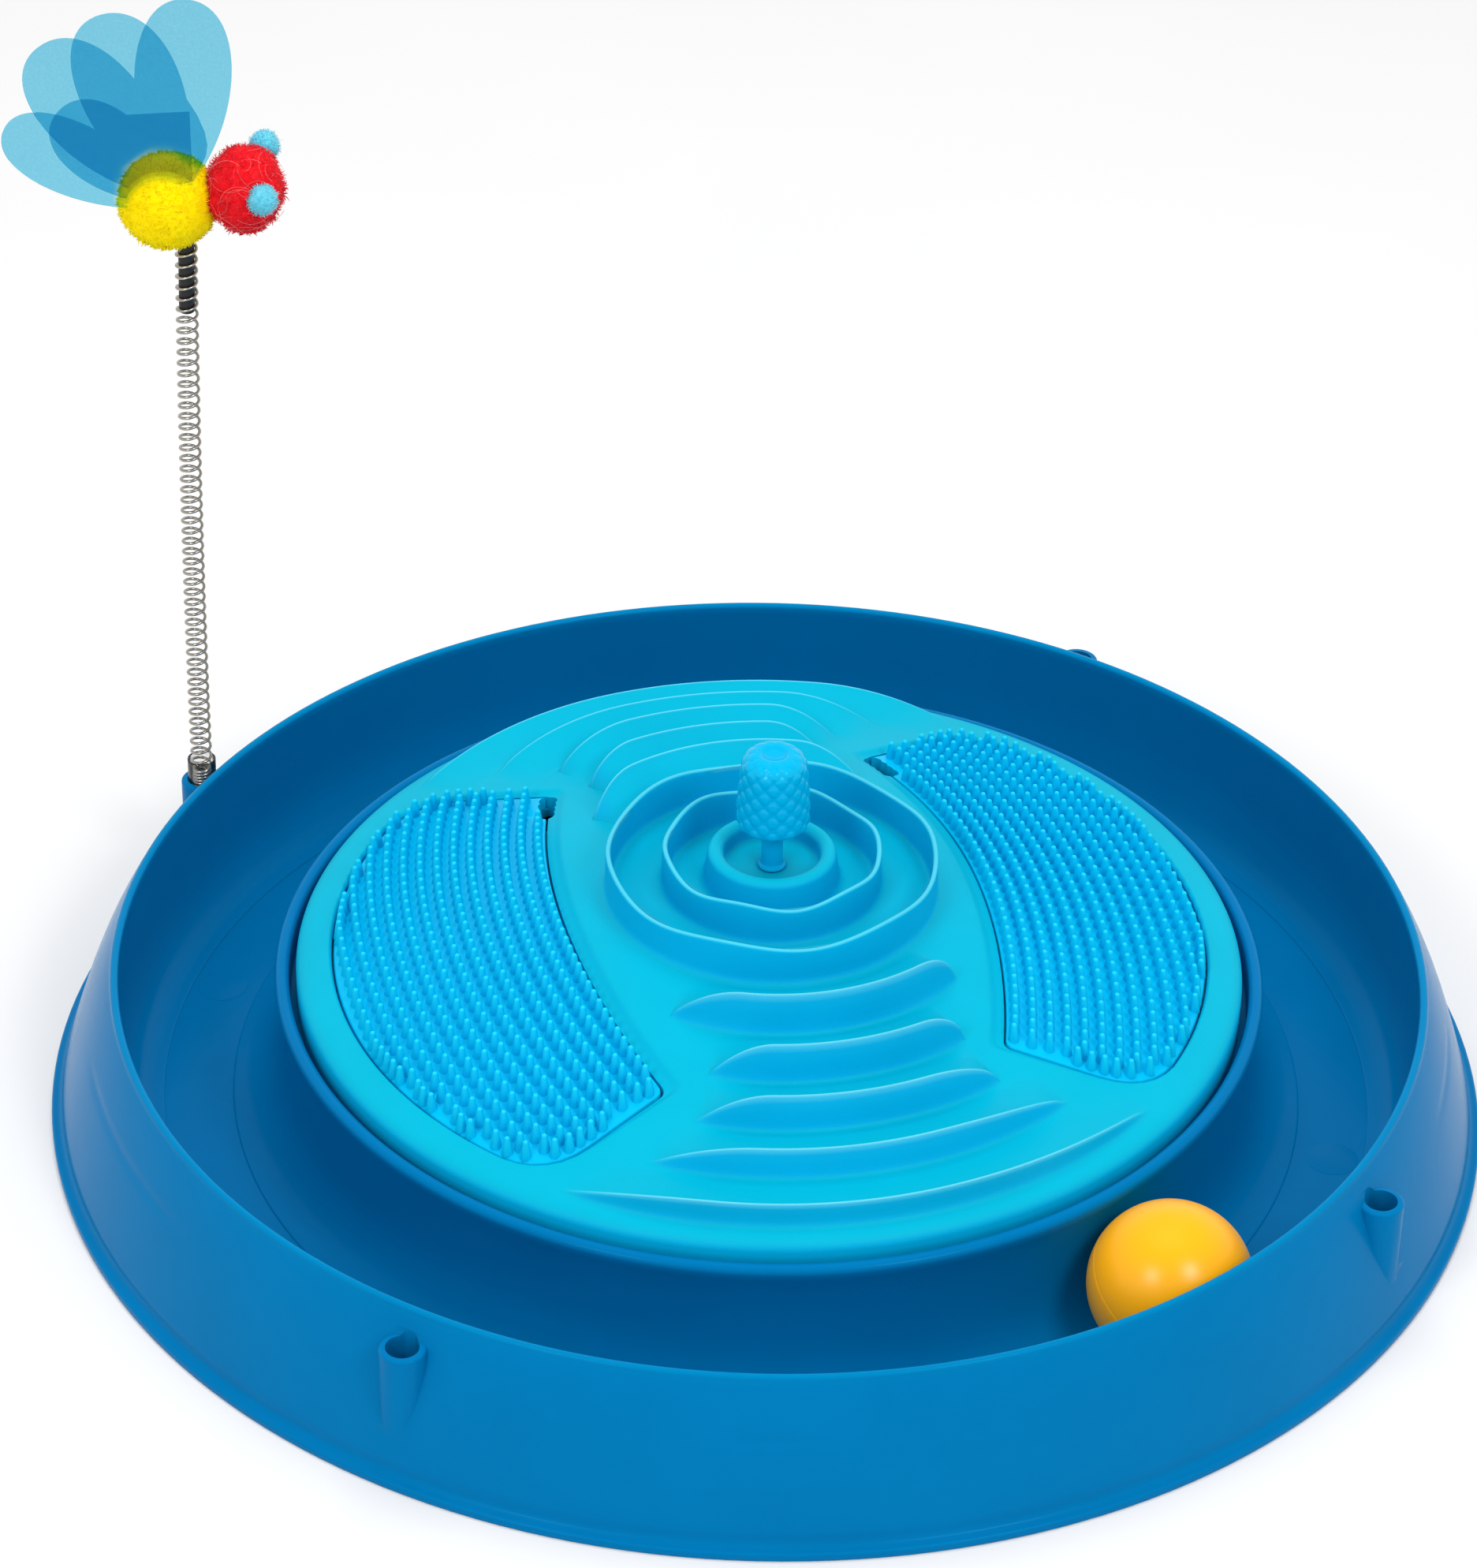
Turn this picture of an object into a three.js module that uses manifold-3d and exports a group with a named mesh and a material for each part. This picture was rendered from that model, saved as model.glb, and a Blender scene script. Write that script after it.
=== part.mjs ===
// Round cat toy: a ball track with a lift-out massager panel and a sprung insect wand
// Millimetres, +Z up, origin on the floor under the middle of the base
import * as THREE from "three";
import { mergeGeometries, mergeVertices } from "three/addons/utils/BufferGeometryUtils.js";
import Module from "manifold-3d";

const wasm = await Module();
wasm.setup();

// Gap kept between pieces that touch on the real toy
const SEAT_GAP = 0.3;
const PRESS_GAP = 0.25;

// Points closer than this are one point
const WELD = 1e-4;

// Ball
const BALL_DIAMETER = 40;
const BALL_WALL = 1.6;
const BALL_LIP = 2;
const BALL_AZIMUTH = -47.4;
const BALL_CLEARANCE = 1.3;

// Base moulding
const BASE_RADIUS = 182.5;
const BASE_HEIGHT = 40.9;
const BASE_WALL = 2.2;
const FLOOR_THICKNESS = 2.2;
const RIM_INSET = 16.4;
const RIM_ROUND = 1.1;
const RIM_UNDERCUT = 1.3;
const FLANGE_HEIGHT = 5.5;
const FLANGE_REACH = 3;
const SKIRT_BEND_INSET = 9.8;
const SKIRT_BEND_HEIGHT = 29.2;
const TRACK_FLOOR_INSIDE = 7.9;
const TRACK_FLOOR_OUTSIDE = 10.6;
const TRACK_STEP = 0.4;
const RING_HEIGHT = 38.5;
const RING_UNDERCUT = 2.4;
const RING_WIDTH = 3.7;
const LEDGE_DEPTH = 8.5;
const LEDGE_WIDTH = 9.3;

// Wand sockets on the skirt
const SOCKET_AZIMUTHS = [61, 152.4, 241.6, 329.4];
const WAND_SOCKET = 1;
const SOCKET_INSET = 10.5;
const SOCKET_TOP = 34.5;
const SOCKET_WALL = 1.6;
const SOCKET_BORE = 8;
const SOCKET_FLOOR = 4;

// Massager panel
const DISC_GAP = 1.8;
const DISC_WALL = 2.2;
const DISC_EDGE_HEIGHT = 39;
const DOME_TOP = 63.2;
const CROWN_RISE = 2.7;
const CONE_RISE = 18.9;
const SHOULDER = 4;
const RIDGE_MARGIN = 6.5;
const RIDGE_PITCH = 13.9;
const RIDGE_LEAD = 1.4;
const RIDGE_TOP_HEIGHT = 49.6;
const RIDGE_TOP_SLOPE = 0.379;
const RIDGE_ARCS = [
  [-113.5, -36.7],
  [-104.6, -44.5],
  [-100, -49.6],
  [-100, -48],
  [-114, -36],
];
const RING_WALL = 1.5;
const RING_LOBES = 6;
const RING_WAVE = 0.8;
const RING_WAVE_AZIMUTH = -106;
const OUTER_RING = { radius: 41, top: 70.6 };
const MIDDLE_RING = { radius: 26.8, top: 72.3 };
const COLLAR_RADIUS = 16.2;
const COLLAR_FOOT = 17.2;
const COLLAR_BORE = 24.2;
const COLLAR_TOP = 72;
const WELL_FLOOR = 66.5;

// Bristle pads
const PAD_AZIMUTH = 195.1;
const PAD_MARGIN = 9.5;
const PAD_INNER_RADIUS = 250;
const PAD_INNER_OFFSET = 53.3;
const PAD_HALF_LENGTH = 64.6;
const PAD_END_ANGLE = 47;
const PAD_OUTER_CORNER = 5;
const PAD_INNER_CORNER = 2.5;
const PAD_GAP = 0.5;
const POCKET_DEPTH = 5;
const POCKET_WALL = 2;
const PAD_PLATE = 2;
const LIP_WIDTH = 2.7;
const LIP_DEPTH = 1.2;
const NOTCH_RADIUS = 2.6;
const NOTCH_INSET = 4;
const BRISTLE_RADIUS = 1.2;
const BRISTLE_RISE = 4.5;
const BRISTLE_ROW_PITCH = 6.6;
const BRISTLE_PITCH = 6.4;
const BRISTLE_MARGIN = 2.2;

// Chew knob on its stem
const KNOB_DIAMETER = 18.2;
const KNOB_TOP_DIAMETER = 14.8;
const KNOB_BOTTOM = 79.2;
const KNOB_HEIGHT = 21.1;
const KNOB_BUMP = 0.5;
const KNOB_BUMPS_ROUND = 12;
const KNOB_ROWS = 7;
const KNOB_FOOT = 2;
const KNOB_CROWN = 4.2;
const KNOB_DIMPLE = 3.2;
const KNOB_SOCKET_DEPTH = 11;
const STEM_DIAMETER = 5.4;
const STEM_COLLAR = 0.9;
const STEM_BARB = 1.6;
const STEM_BARB_LENGTH = 4.5;

// Wand
const SLEEVE_WALL = 0.5;
const SLEEVE_TOP = 41;
const SPRING_DIAMETER = 5.8;
const SPRING_WIRE = 0.7;
const SPRING_START = 26;
const CLOSE_PITCH = 1.3;
const OPEN_PITCH = 3.1;
const SPRING_LENGTH = 168;
const SPRING_LEAN = 2.3;
const CORE_DIAMETER = 4;
const CORE_IN_SPRING = 18;
const CORE_IN_BODY = 7;

// Felt insect, placed from the spring's upper end
const BODY_SIZE = new THREE.Vector3(25.2, 24.4, 24.4);
const BODY_OFFSET = new THREE.Vector3(-4, 0, 13.1);
const HEAD_SIZE = new THREE.Vector3(19.4, 21.4, 22.2);
const HEAD_OFFSET = new THREE.Vector3(19.3, 0, 3.9);
const EYE_SIZE = 7.6;
const EYE_OFFSETS = {
  bee_eye_near: new THREE.Vector3(5.2, -9, 1.7),
  bee_eye_far: new THREE.Vector3(4.2, 8.6, 7.6),
};
const SLOT_OFFSET = -4;
const SLOT_DEPTH = 3.4;
const SLOT_DROP = 4;
const FILM = 0.3;
const FILM_PITCH = 1.1;
const FILM_ROOT = new THREE.Vector2(2.3, 1.5);
const PETAL_FULLNESS = 0.35;
const PETAL_PEAK = 0.75;
const FAR_PETALS = [
  { length: 54.2, width: 23.6, angle: 84.7 },
  { length: 51.4, width: 26.6, angle: 128.1 },
];
const NEAR_PETALS = [
  { length: 53.6, width: 25.7, angle: 106.7 },
  { length: 45.5, width: 20.2, angle: 154.2 },
];
const INNER_PETALS = [{ length: 36.7, width: 21.2, angle: 138.8 }];
const TAB_CORNERS = [
  [4.5, 5],
  [4.5, 25],
  [-16.6, 23.2],
  [-16.2, 12],
  [-13, 5],
];
const FLARE_CORNERS = [
  [-2, 4],
  [5, 7],
  [8.2, 13.7],
  [8.7, 16.5],
  [8.2, 20.1],
  [6.5, 24.8],
  [3.5, 30.2],
];

// Facet counts
const BASE_SIDES = 48;
const DISC_SIDES = 36;
const SLICE_SIDES = 36;
const RING_STEPS = 24;
const SMALL_SIDES = 16;
const CORE_SIDES = 8;
const BALL_SIDES = 16;
const BALL_STEPS = 3;
const RIDGE_STEPS = 9;
const CURVE_STEPS = 2;
const OUTLINE_STEPS = 6;
const PETAL_STEPS = 8;
const SPRING_STEPS = 8;
const WIRE_SIDES = 3;
const STRAND_SIDES = 3;
const BODY_SIDES = 16;
const HEAD_SIDES = 14;
const EYE_SIDES = 10;

// Sizes that follow from the ones above
const BALL_RADIUS = BALL_DIAMETER / 2;
const TRACK_HALF_WIDTH = BALL_RADIUS + BALL_CLEARANCE;
const BALL_HEIGHT = FLOOR_THICKNESS + SEAT_GAP + BALL_RADIUS;
const RIM_RADIUS = BASE_RADIUS - RIM_INSET;
const TRACK_RADIUS = RIM_RADIUS - 2 * RIM_ROUND + RIM_UNDERCUT - TRACK_HALF_WIDTH;
const RING_OUTSIDE = TRACK_RADIUS - TRACK_HALF_WIDTH + RING_UNDERCUT;
const RING_INSIDE = RING_OUTSIDE - RING_WIDTH;
const LEDGE_HEIGHT = RING_HEIGHT - LEDGE_DEPTH;
const TRAY_RADIUS = RING_INSIDE - LEDGE_WIDTH;
const DISC_RADIUS = RING_INSIDE - DISC_GAP;
const PAD_OUTER_RADIUS = DISC_RADIUS - PAD_MARGIN;
const SOCKET_RADIUS = BASE_RADIUS - SOCKET_INSET;
const STEM_HOLE = STEM_DIAMETER / 2 + SEAT_GAP;
const SLEEVE_RADIUS = SOCKET_BORE / 2 - PRESS_GAP;
const COIL_RADIUS = (SPRING_DIAMETER - SPRING_WIRE) / 2;
const SPRING_END = SPRING_START + SPRING_LENGTH;
const UP = new THREE.Vector3(0, 0, 1);

const radians = THREE.MathUtils.degToRad;

// Height of the panel's dome at a radius, rounded inside the outer ring and straight down to the edge
function dome(radius) {
  const crown = OUTER_RING.radius;
  if (radius < crown) return DOME_TOP - CROWN_RISE * (radius / crown) ** 2;
  return DOME_TOP - CROWN_RISE - (CONE_RISE * (radius - crown)) / (DISC_RADIUS - crown);
}

// Point at a radius, azimuth in radians and height
function polar(radius, azimuth, height) {
  return new THREE.Vector3(radius * Math.cos(azimuth), radius * Math.sin(azimuth), height);
}

// Closed three.js geometry as a solid that can be joined and cut
function solid(geometry) {
  const plain = geometry.clone();
  plain.deleteAttribute("normal");
  plain.deleteAttribute("uv");
  const merged = mergeVertices(plain, WELD);
  return new wasm.Manifold(
    new wasm.Mesh({
      numProp: 3,
      vertProperties: new Float32Array(merged.attributes.position.array),
      triVerts: new Uint32Array(merged.index.array),
    }),
  );
}

// Solid back to three.js geometry
function geometryOf(body) {
  const mesh = body.getMesh();
  const geometry = new THREE.BufferGeometry();
  geometry.setAttribute("position", new THREE.BufferAttribute(mesh.vertProperties, 3));
  geometry.setIndex(new THREE.BufferAttribute(mesh.triVerts, 1));
  geometry.computeVertexNormals();
  return geometry;
}

function join(bodies) {
  return bodies.reduce((whole, body) => whole.add(body));
}

// Profile of radius and height, turned about Z
function turned(points, sides) {
  const profile = points.map(([radius, height]) => new THREE.Vector2(radius, height));
  return new THREE.LatheGeometry(profile, sides).rotateX(Math.PI / 2);
}

// Closed ring profile turned about Z
function turnedRing(points, sides) {
  return turned([...points, points[0]], sides);
}

// Points along a plane path, curves in equal steps
function along(path, steps = CURVE_STEPS) {
  return path.getPoints(steps).map((point) => [point.x, point.y]);
}

// Outline pulled up from one height to another
function pulled(shape, low, high, steps = OUTLINE_STEPS) {
  const options = { depth: high - low, bevelEnabled: false, curveSegments: steps };
  return new THREE.ExtrudeGeometry(shape, options).translate(0, 0, low);
}

function upright(radius, low, high, sides) {
  const geometry = new THREE.CylinderGeometry(radius, radius, high - low, sides);
  return geometry.rotateX(Math.PI / 2).translate(0, 0, (low + high) / 2);
}

// Rings of points joined into one skin, capped at both ends or closed on itself
function lofted(rings, closed) {
  const count = rings[0].length;
  const points = rings.flat();
  const faces = [];
  const spans = closed ? rings.length : rings.length - 1;
  for (let i = 0; i < spans; i++) {
    const near = i * count;
    const far = ((i + 1) % rings.length) * count;
    for (let j = 0; j < count; j++) {
      const next = (j + 1) % count;
      faces.push(near + j, near + next, far + next);
      faces.push(near + j, far + next, far + j);
    }
  }
  if (!closed) {
    const last = (rings.length - 1) * count;
    for (let j = 1; j < count - 1; j++) {
      faces.push(0, j + 1, j);
      faces.push(last, last + j, last + j + 1);
    }
  }
  const geometry = new THREE.BufferGeometry().setFromPoints(points);
  geometry.setIndex(faces);
  return geometry;
}

function plastic(color, roughness) {
  return new THREE.MeshStandardMaterial({ color, roughness, metalness: 0 });
}

const trackBlue = plastic(0x017bb7, 0.38);
const panelBlue = plastic(0x029fd7, 0.5);
const bristleBlue = plastic(0x02ade3, 0.45);
const ballYellow = plastic(0xfec00e, 0.25);
const clearPlastic = plastic(0xe6e6e2, 0.15);
const feltYellow = plastic(0xfed902, 0.95);
const feltRed = plastic(0xea1c26, 0.95);
const feltBlue = plastic(0x62c8df, 0.95);
const filmBlue = plastic(0x83cee4, 0.2);
const darkCore = plastic(0x1c1c1e, 0.6);
const springSteel = new THREE.MeshStandardMaterial({ color: 0xb9b3a6, roughness: 0.25, metalness: 1 });
clearPlastic.transparent = true;
clearPlastic.opacity = 0.35;
filmBlue.transparent = true;
filmBlue.opacity = 0.55;

const toy = new THREE.Group();

function place(name, geometry, material) {
  const mesh = new THREE.Mesh(geometry, material);
  mesh.name = name;
  toy.add(mesh);
  return mesh;
}

// Base: half section from the axis out along the underside and back over the top
function baseSection() {
  const outerWall = TRACK_RADIUS + TRACK_HALF_WIDTH;
  const innerWall = TRACK_RADIUS - TRACK_HALF_WIDTH;
  const floorOuter = TRACK_RADIUS + TRACK_FLOOR_OUTSIDE;
  const floorInner = TRACK_RADIUS - TRACK_FLOOR_INSIDE;
  const skirtFoot = BASE_RADIUS - FLANGE_REACH;
  const bendRadius = BASE_RADIUS - SKIRT_BEND_INSET;
  const ringMiddle = (RING_INSIDE + RING_OUTSIDE) / 2;
  const ringRound = RING_WIDTH / 2;
  const stepTop = FLOOR_THICKNESS + TRACK_STEP;
  const hollowTop = SKIRT_BEND_HEIGHT - BASE_WALL;
  const path = new THREE.Path();
  path.moveTo(0, 0);
  path.lineTo(TRAY_RADIUS + BASE_WALL, 0);
  path.lineTo(TRAY_RADIUS + BASE_WALL, LEDGE_HEIGHT - BASE_WALL);
  path.lineTo(innerWall - BASE_WALL, LEDGE_HEIGHT - BASE_WALL);
  path.lineTo(innerWall - BASE_WALL, BALL_HEIGHT);
  path.quadraticCurveTo(innerWall - BASE_WALL, 0, floorInner - BASE_WALL, 0);
  path.lineTo(floorOuter + BASE_WALL, 0);
  path.quadraticCurveTo(outerWall + BASE_WALL, 0, outerWall + BASE_WALL, BALL_HEIGHT);
  path.lineTo(outerWall + BASE_WALL, hollowTop);
  path.quadraticCurveTo(bendRadius - BASE_WALL, hollowTop, skirtFoot - BASE_WALL, FLANGE_HEIGHT);
  path.lineTo(BASE_RADIUS - BASE_WALL, 0);
  path.lineTo(BASE_RADIUS, 0);
  path.lineTo(BASE_RADIUS, BASE_WALL);
  path.quadraticCurveTo(skirtFoot, BASE_WALL, skirtFoot, FLANGE_HEIGHT);
  path.quadraticCurveTo(bendRadius, SKIRT_BEND_HEIGHT, RIM_RADIUS, BASE_HEIGHT - RIM_ROUND);
  path.absarc(RIM_RADIUS - RIM_ROUND, BASE_HEIGHT - RIM_ROUND, RIM_ROUND, 0, Math.PI, false);
  path.quadraticCurveTo(outerWall, (BASE_HEIGHT + BALL_HEIGHT) / 2, outerWall, BALL_HEIGHT);
  path.quadraticCurveTo(outerWall, stepTop, floorOuter, stepTop);
  path.lineTo(floorOuter, FLOOR_THICKNESS);
  path.lineTo(floorInner, FLOOR_THICKNESS);
  path.lineTo(floorInner, stepTop);
  path.quadraticCurveTo(innerWall, stepTop, innerWall, BALL_HEIGHT);
  path.quadraticCurveTo(innerWall, (RING_HEIGHT + BALL_HEIGHT) / 2, RING_OUTSIDE, RING_HEIGHT - ringRound);
  path.absarc(ringMiddle, RING_HEIGHT - ringRound, ringRound, 0, Math.PI, false);
  path.lineTo(RING_INSIDE, LEDGE_HEIGHT);
  path.lineTo(TRAY_RADIUS, LEDGE_HEIGHT);
  path.lineTo(TRAY_RADIUS, FLOOR_THICKNESS);
  path.lineTo(0, FLOOR_THICKNESS);
  return along(path);
}

function socketAt(azimuth) {
  return polar(SOCKET_RADIUS, radians(azimuth), 0);
}

function trackBase() {
  const bossRadius = SOCKET_BORE / 2 + SOCKET_WALL;
  const ring = solid(turned(baseSection(), BASE_SIDES));
  const bosses = SOCKET_AZIMUTHS.map((azimuth) => {
    const centre = socketAt(azimuth);
    return solid(upright(bossRadius, 0, SOCKET_TOP, SMALL_SIDES).translate(centre.x, centre.y, 0));
  });
  const bores = SOCKET_AZIMUTHS.map((azimuth) => {
    const centre = socketAt(azimuth);
    const bore = upright(SOCKET_BORE / 2, SOCKET_FLOOR, BASE_HEIGHT + SOCKET_WALL, SMALL_SIDES);
    return solid(bore.translate(centre.x, centre.y, 0));
  });
  return join([ring, ...bosses]).subtract(join(bores));
}

place("track_base", geometryOf(trackBase()), trackBlue);

// Ball: two half shells that lap at the equator
function ballPieces() {
  const inside = BALL_RADIUS - BALL_WALL;
  const edge = SEAT_GAP / 2;
  const lipOuter = inside - SEAT_GAP;
  const lipInner = lipOuter - BALL_WALL / 2;
  const quarter = Math.PI / 2;
  const arc = (radius, from, to) => {
    const path = new THREE.Path();
    path.absarc(0, 0, radius, from, to, from > to);
    return along(path, BALL_STEPS).map(([x, z]) => [Math.max(0, x), z]);
  };
  const upper = [
    ...arc(inside, quarter, Math.asin(edge / inside)),
    ...arc(BALL_RADIUS, Math.asin(edge / BALL_RADIUS), quarter),
  ];
  const lower = [
    ...arc(BALL_RADIUS, -quarter, -Math.asin(edge / BALL_RADIUS)),
    [lipOuter, -edge],
    [lipOuter, BALL_LIP],
    [lipInner, BALL_LIP],
    [lipInner, -BALL_LIP],
    ...arc(inside, -Math.asin((2 * BALL_LIP) / inside), -quarter),
  ];
  return { ball_upper_half: upper, ball_lower_half: lower };
}

for (const [name, profile] of Object.entries(ballPieces())) {
  const centre = polar(TRACK_RADIUS, radians(BALL_AZIMUTH), BALL_HEIGHT);
  place(name, turned(profile, BALL_SIDES), ballYellow).position.copy(centre);
}

// Panel: half section from the stem hole over the collar, dome and edge, and back underneath
function panelSection() {
  const collarInside = COLLAR_BORE / 2;
  const wallInside = COLLAR_RADIUS - DISC_WALL;
  const collarRound = (COLLAR_RADIUS - collarInside) / 2;
  const shoulderInside = DISC_RADIUS - SHOULDER;
  const edgeInside = DISC_RADIUS - DISC_WALL;
  const seat = LEDGE_HEIGHT + SEAT_GAP;
  const path = new THREE.Path();
  path.moveTo(STEM_HOLE, WELL_FLOOR - DISC_WALL);
  path.lineTo(wallInside, WELL_FLOOR - DISC_WALL);
  path.lineTo(wallInside, dome(wallInside) - DISC_WALL);
  const under = along(path);
  const over = new THREE.Path();
  over.moveTo(edgeInside, DISC_EDGE_HEIGHT - DISC_WALL);
  over.lineTo(edgeInside, seat);
  over.lineTo(DISC_RADIUS, seat);
  over.lineTo(DISC_RADIUS, DISC_EDGE_HEIGHT);
  over.quadraticCurveTo(DISC_RADIUS, dome(DISC_RADIUS), shoulderInside, dome(shoulderInside));
  const crown = new THREE.Path();
  crown.moveTo(COLLAR_FOOT, dome(COLLAR_FOOT));
  crown.lineTo(COLLAR_RADIUS, COLLAR_TOP - collarRound);
  crown.absarc(COLLAR_RADIUS - collarRound, COLLAR_TOP - collarRound, collarRound, 0, Math.PI, false);
  crown.lineTo(collarInside, WELL_FLOOR);
  crown.lineTo(STEM_HOLE, WELL_FLOOR);
  const bends = [MIDDLE_RING.radius, OUTER_RING.radius];
  const underDome = bends.map((radius) => [radius, dome(radius) - DISC_WALL]);
  const overDome = bends.map((radius) => [radius, dome(radius)]).reverse();
  return [...under, ...underDome, ...along(over), ...overDome, ...along(crown)];
}

// Slice of the dome's straight part between two depths
function domeSlice(low, high) {
  const [inside, outside] = [OUTER_RING.radius, DISC_RADIUS];
  const section = [
    [inside, dome(inside) + low],
    [outside, dome(outside) + low],
    [outside, dome(outside) + high],
    [inside, dome(inside) + high],
  ];
  return solid(turnedRing(section, SLICE_SIDES));
}

// Thin wall standing round the collar, its top edge rising and falling
function wavyRing({ radius, top }) {
  const foot = dome(radius) - DISC_WALL / 2;
  const sections = [];
  for (let i = 0; i < RING_STEPS; i++) {
    const azimuth = (2 * Math.PI * i) / RING_STEPS;
    const crest = top + RING_WAVE * Math.cos(RING_LOBES * (azimuth - radians(RING_WAVE_AZIMUTH)));
    sections.push([
      polar(radius - RING_WALL / 2, azimuth, foot),
      polar(radius - RING_WALL / 2, azimuth, crest),
      polar(radius + RING_WALL / 2, azimuth, crest),
      polar(radius + RING_WALL / 2, azimuth, foot),
    ]);
  }
  return solid(lofted(sections, true));
}

// Crescent ridge: a gentle slope outwards up to the crest, then a steep wall
function ridge(radius, [from, to], turn) {
  const crestHeight = RIDGE_TOP_HEIGHT + RIDGE_TOP_SLOPE * (DISC_RADIUS - RIDGE_MARGIN - radius);
  const sink = DISC_WALL / 2;
  const slopeFoot = radius - RIDGE_PITCH;
  const wallFoot = radius + RIDGE_LEAD;
  const sections = [];
  for (let i = 0; i <= RIDGE_STEPS; i++) {
    const azimuth = radians(from + ((to - from) * i) / RIDGE_STEPS) + turn;
    const share = Math.sqrt(Math.sin((Math.PI * i) / RIDGE_STEPS));
    const low = dome(radius) - sink / 2;
    const crest = low + (crestHeight - low) * share;
    sections.push([
      polar(slopeFoot, azimuth, dome(slopeFoot) - sink),
      polar(radius, azimuth, crest),
      polar(wallFoot, azimuth, dome(wallFoot) - sink),
    ]);
  }
  return solid(lofted(sections, false));
}

// Pad outline in its own frame, middle on +X, grown or shrunk all round, with a lip along its inner edge
function padOutline(grow, lip = 0) {
  const inner = PAD_INNER_RADIUS - grow - lip;
  const outer = PAD_OUTER_RADIUS + grow;
  const centre = PAD_INNER_OFFSET - PAD_INNER_RADIUS;
  const half = PAD_HALF_LENGTH + grow;
  const end = radians(PAD_END_ANGLE) + grow / outer;
  const reach = Math.asin(half / inner);
  const innerCorner = new THREE.Vector2(centre + inner * Math.cos(reach), half);
  const outerCorner = new THREE.Vector2(outer * Math.cos(end), outer * Math.sin(end));
  const edge = outerCorner.clone().sub(innerCorner).normalize();
  const onEdge = outerCorner.clone().addScaledVector(edge, -PAD_OUTER_CORNER);
  const offEdge = innerCorner.clone().addScaledVector(edge, PAD_INNER_CORNER);
  const outerReach = end - PAD_OUTER_CORNER / outer;
  const innerReach = reach - PAD_INNER_CORNER / inner;
  const outline = new THREE.Shape();
  outline.absarc(0, 0, outer, -outerReach, outerReach, false);
  outline.quadraticCurveTo(outerCorner.x, outerCorner.y, onEdge.x, onEdge.y);
  outline.lineTo(offEdge.x, offEdge.y);
  outline.quadraticCurveTo(
    innerCorner.x,
    innerCorner.y,
    centre + inner * Math.cos(innerReach),
    inner * Math.sin(innerReach),
  );
  outline.absarc(centre, 0, inner, innerReach, -innerReach, true);
  outline.quadraticCurveTo(innerCorner.x, -innerCorner.y, offEdge.x, -offEdge.y);
  outline.lineTo(onEdge.x, -onEdge.y);
  outline.quadraticCurveTo(
    outerCorner.x,
    -outerCorner.y,
    outer * Math.cos(outerReach),
    -outer * Math.sin(outerReach),
  );
  return { outline, innerCorner, outerCorner };
}

// Outline pulled through the whole height of the panel, turned to its pad's azimuth
function padColumn(grow, turn, lip = 0) {
  const column = pulled(padOutline(grow, lip).outline, 0, COLLAR_TOP);
  return solid(column.rotateZ(radians(PAD_AZIMUTH) + turn));
}

// Round notch in the pad's inner edge towards the toy's back, where a fingernail lifts it out
function notch(turn) {
  const inner = PAD_INNER_RADIUS - PAD_GAP;
  const y = PAD_HALF_LENGTH - NOTCH_INSET;
  const x = PAD_INNER_OFFSET - PAD_INNER_RADIUS + Math.sqrt(inner ** 2 - y ** 2);
  const column = upright(NOTCH_RADIUS, 0, COLLAR_TOP, SMALL_SIDES).translate(x, -y * Math.cos(turn), 0);
  return solid(column.rotateZ(radians(PAD_AZIMUTH) + turn));
}

const HALF_TURNS = [0, Math.PI];

function massagerDisc() {
  const rings = [OUTER_RING, MIDDLE_RING].map(wavyRing);
  const ridges = HALF_TURNS.flatMap((turn) =>
    RIDGE_ARCS.map((arc, i) => ridge(DISC_RADIUS - RIDGE_MARGIN - i * RIDGE_PITCH, arc, turn)),
  );
  const pocketBlock = domeSlice(-POCKET_DEPTH - DISC_WALL, -DISC_WALL / 2);
  const pocketSpace = domeSlice(-POCKET_DEPTH, COLLAR_TOP - DISC_EDGE_HEIGHT);
  const lipSpace = domeSlice(-LIP_DEPTH, COLLAR_TOP - DISC_EDGE_HEIGHT);
  const blocks = HALF_TURNS.map((turn) => padColumn(PAD_GAP + POCKET_WALL, turn).intersect(pocketBlock));
  const spaces = HALF_TURNS.map((turn) =>
    padColumn(PAD_GAP, turn).add(notch(turn)).intersect(pocketSpace),
  );
  const lips = HALF_TURNS.map((turn) => padColumn(PAD_GAP, turn, LIP_WIDTH).intersect(lipSpace));
  const panel = solid(turnedRing(panelSection(), DISC_SIDES));
  return join([panel, ...rings, ...ridges, ...blocks]).subtract(join([...spaces, ...lips]));
}

place("massager_disc", geometryOf(massagerDisc()), panelBlue);

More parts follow.
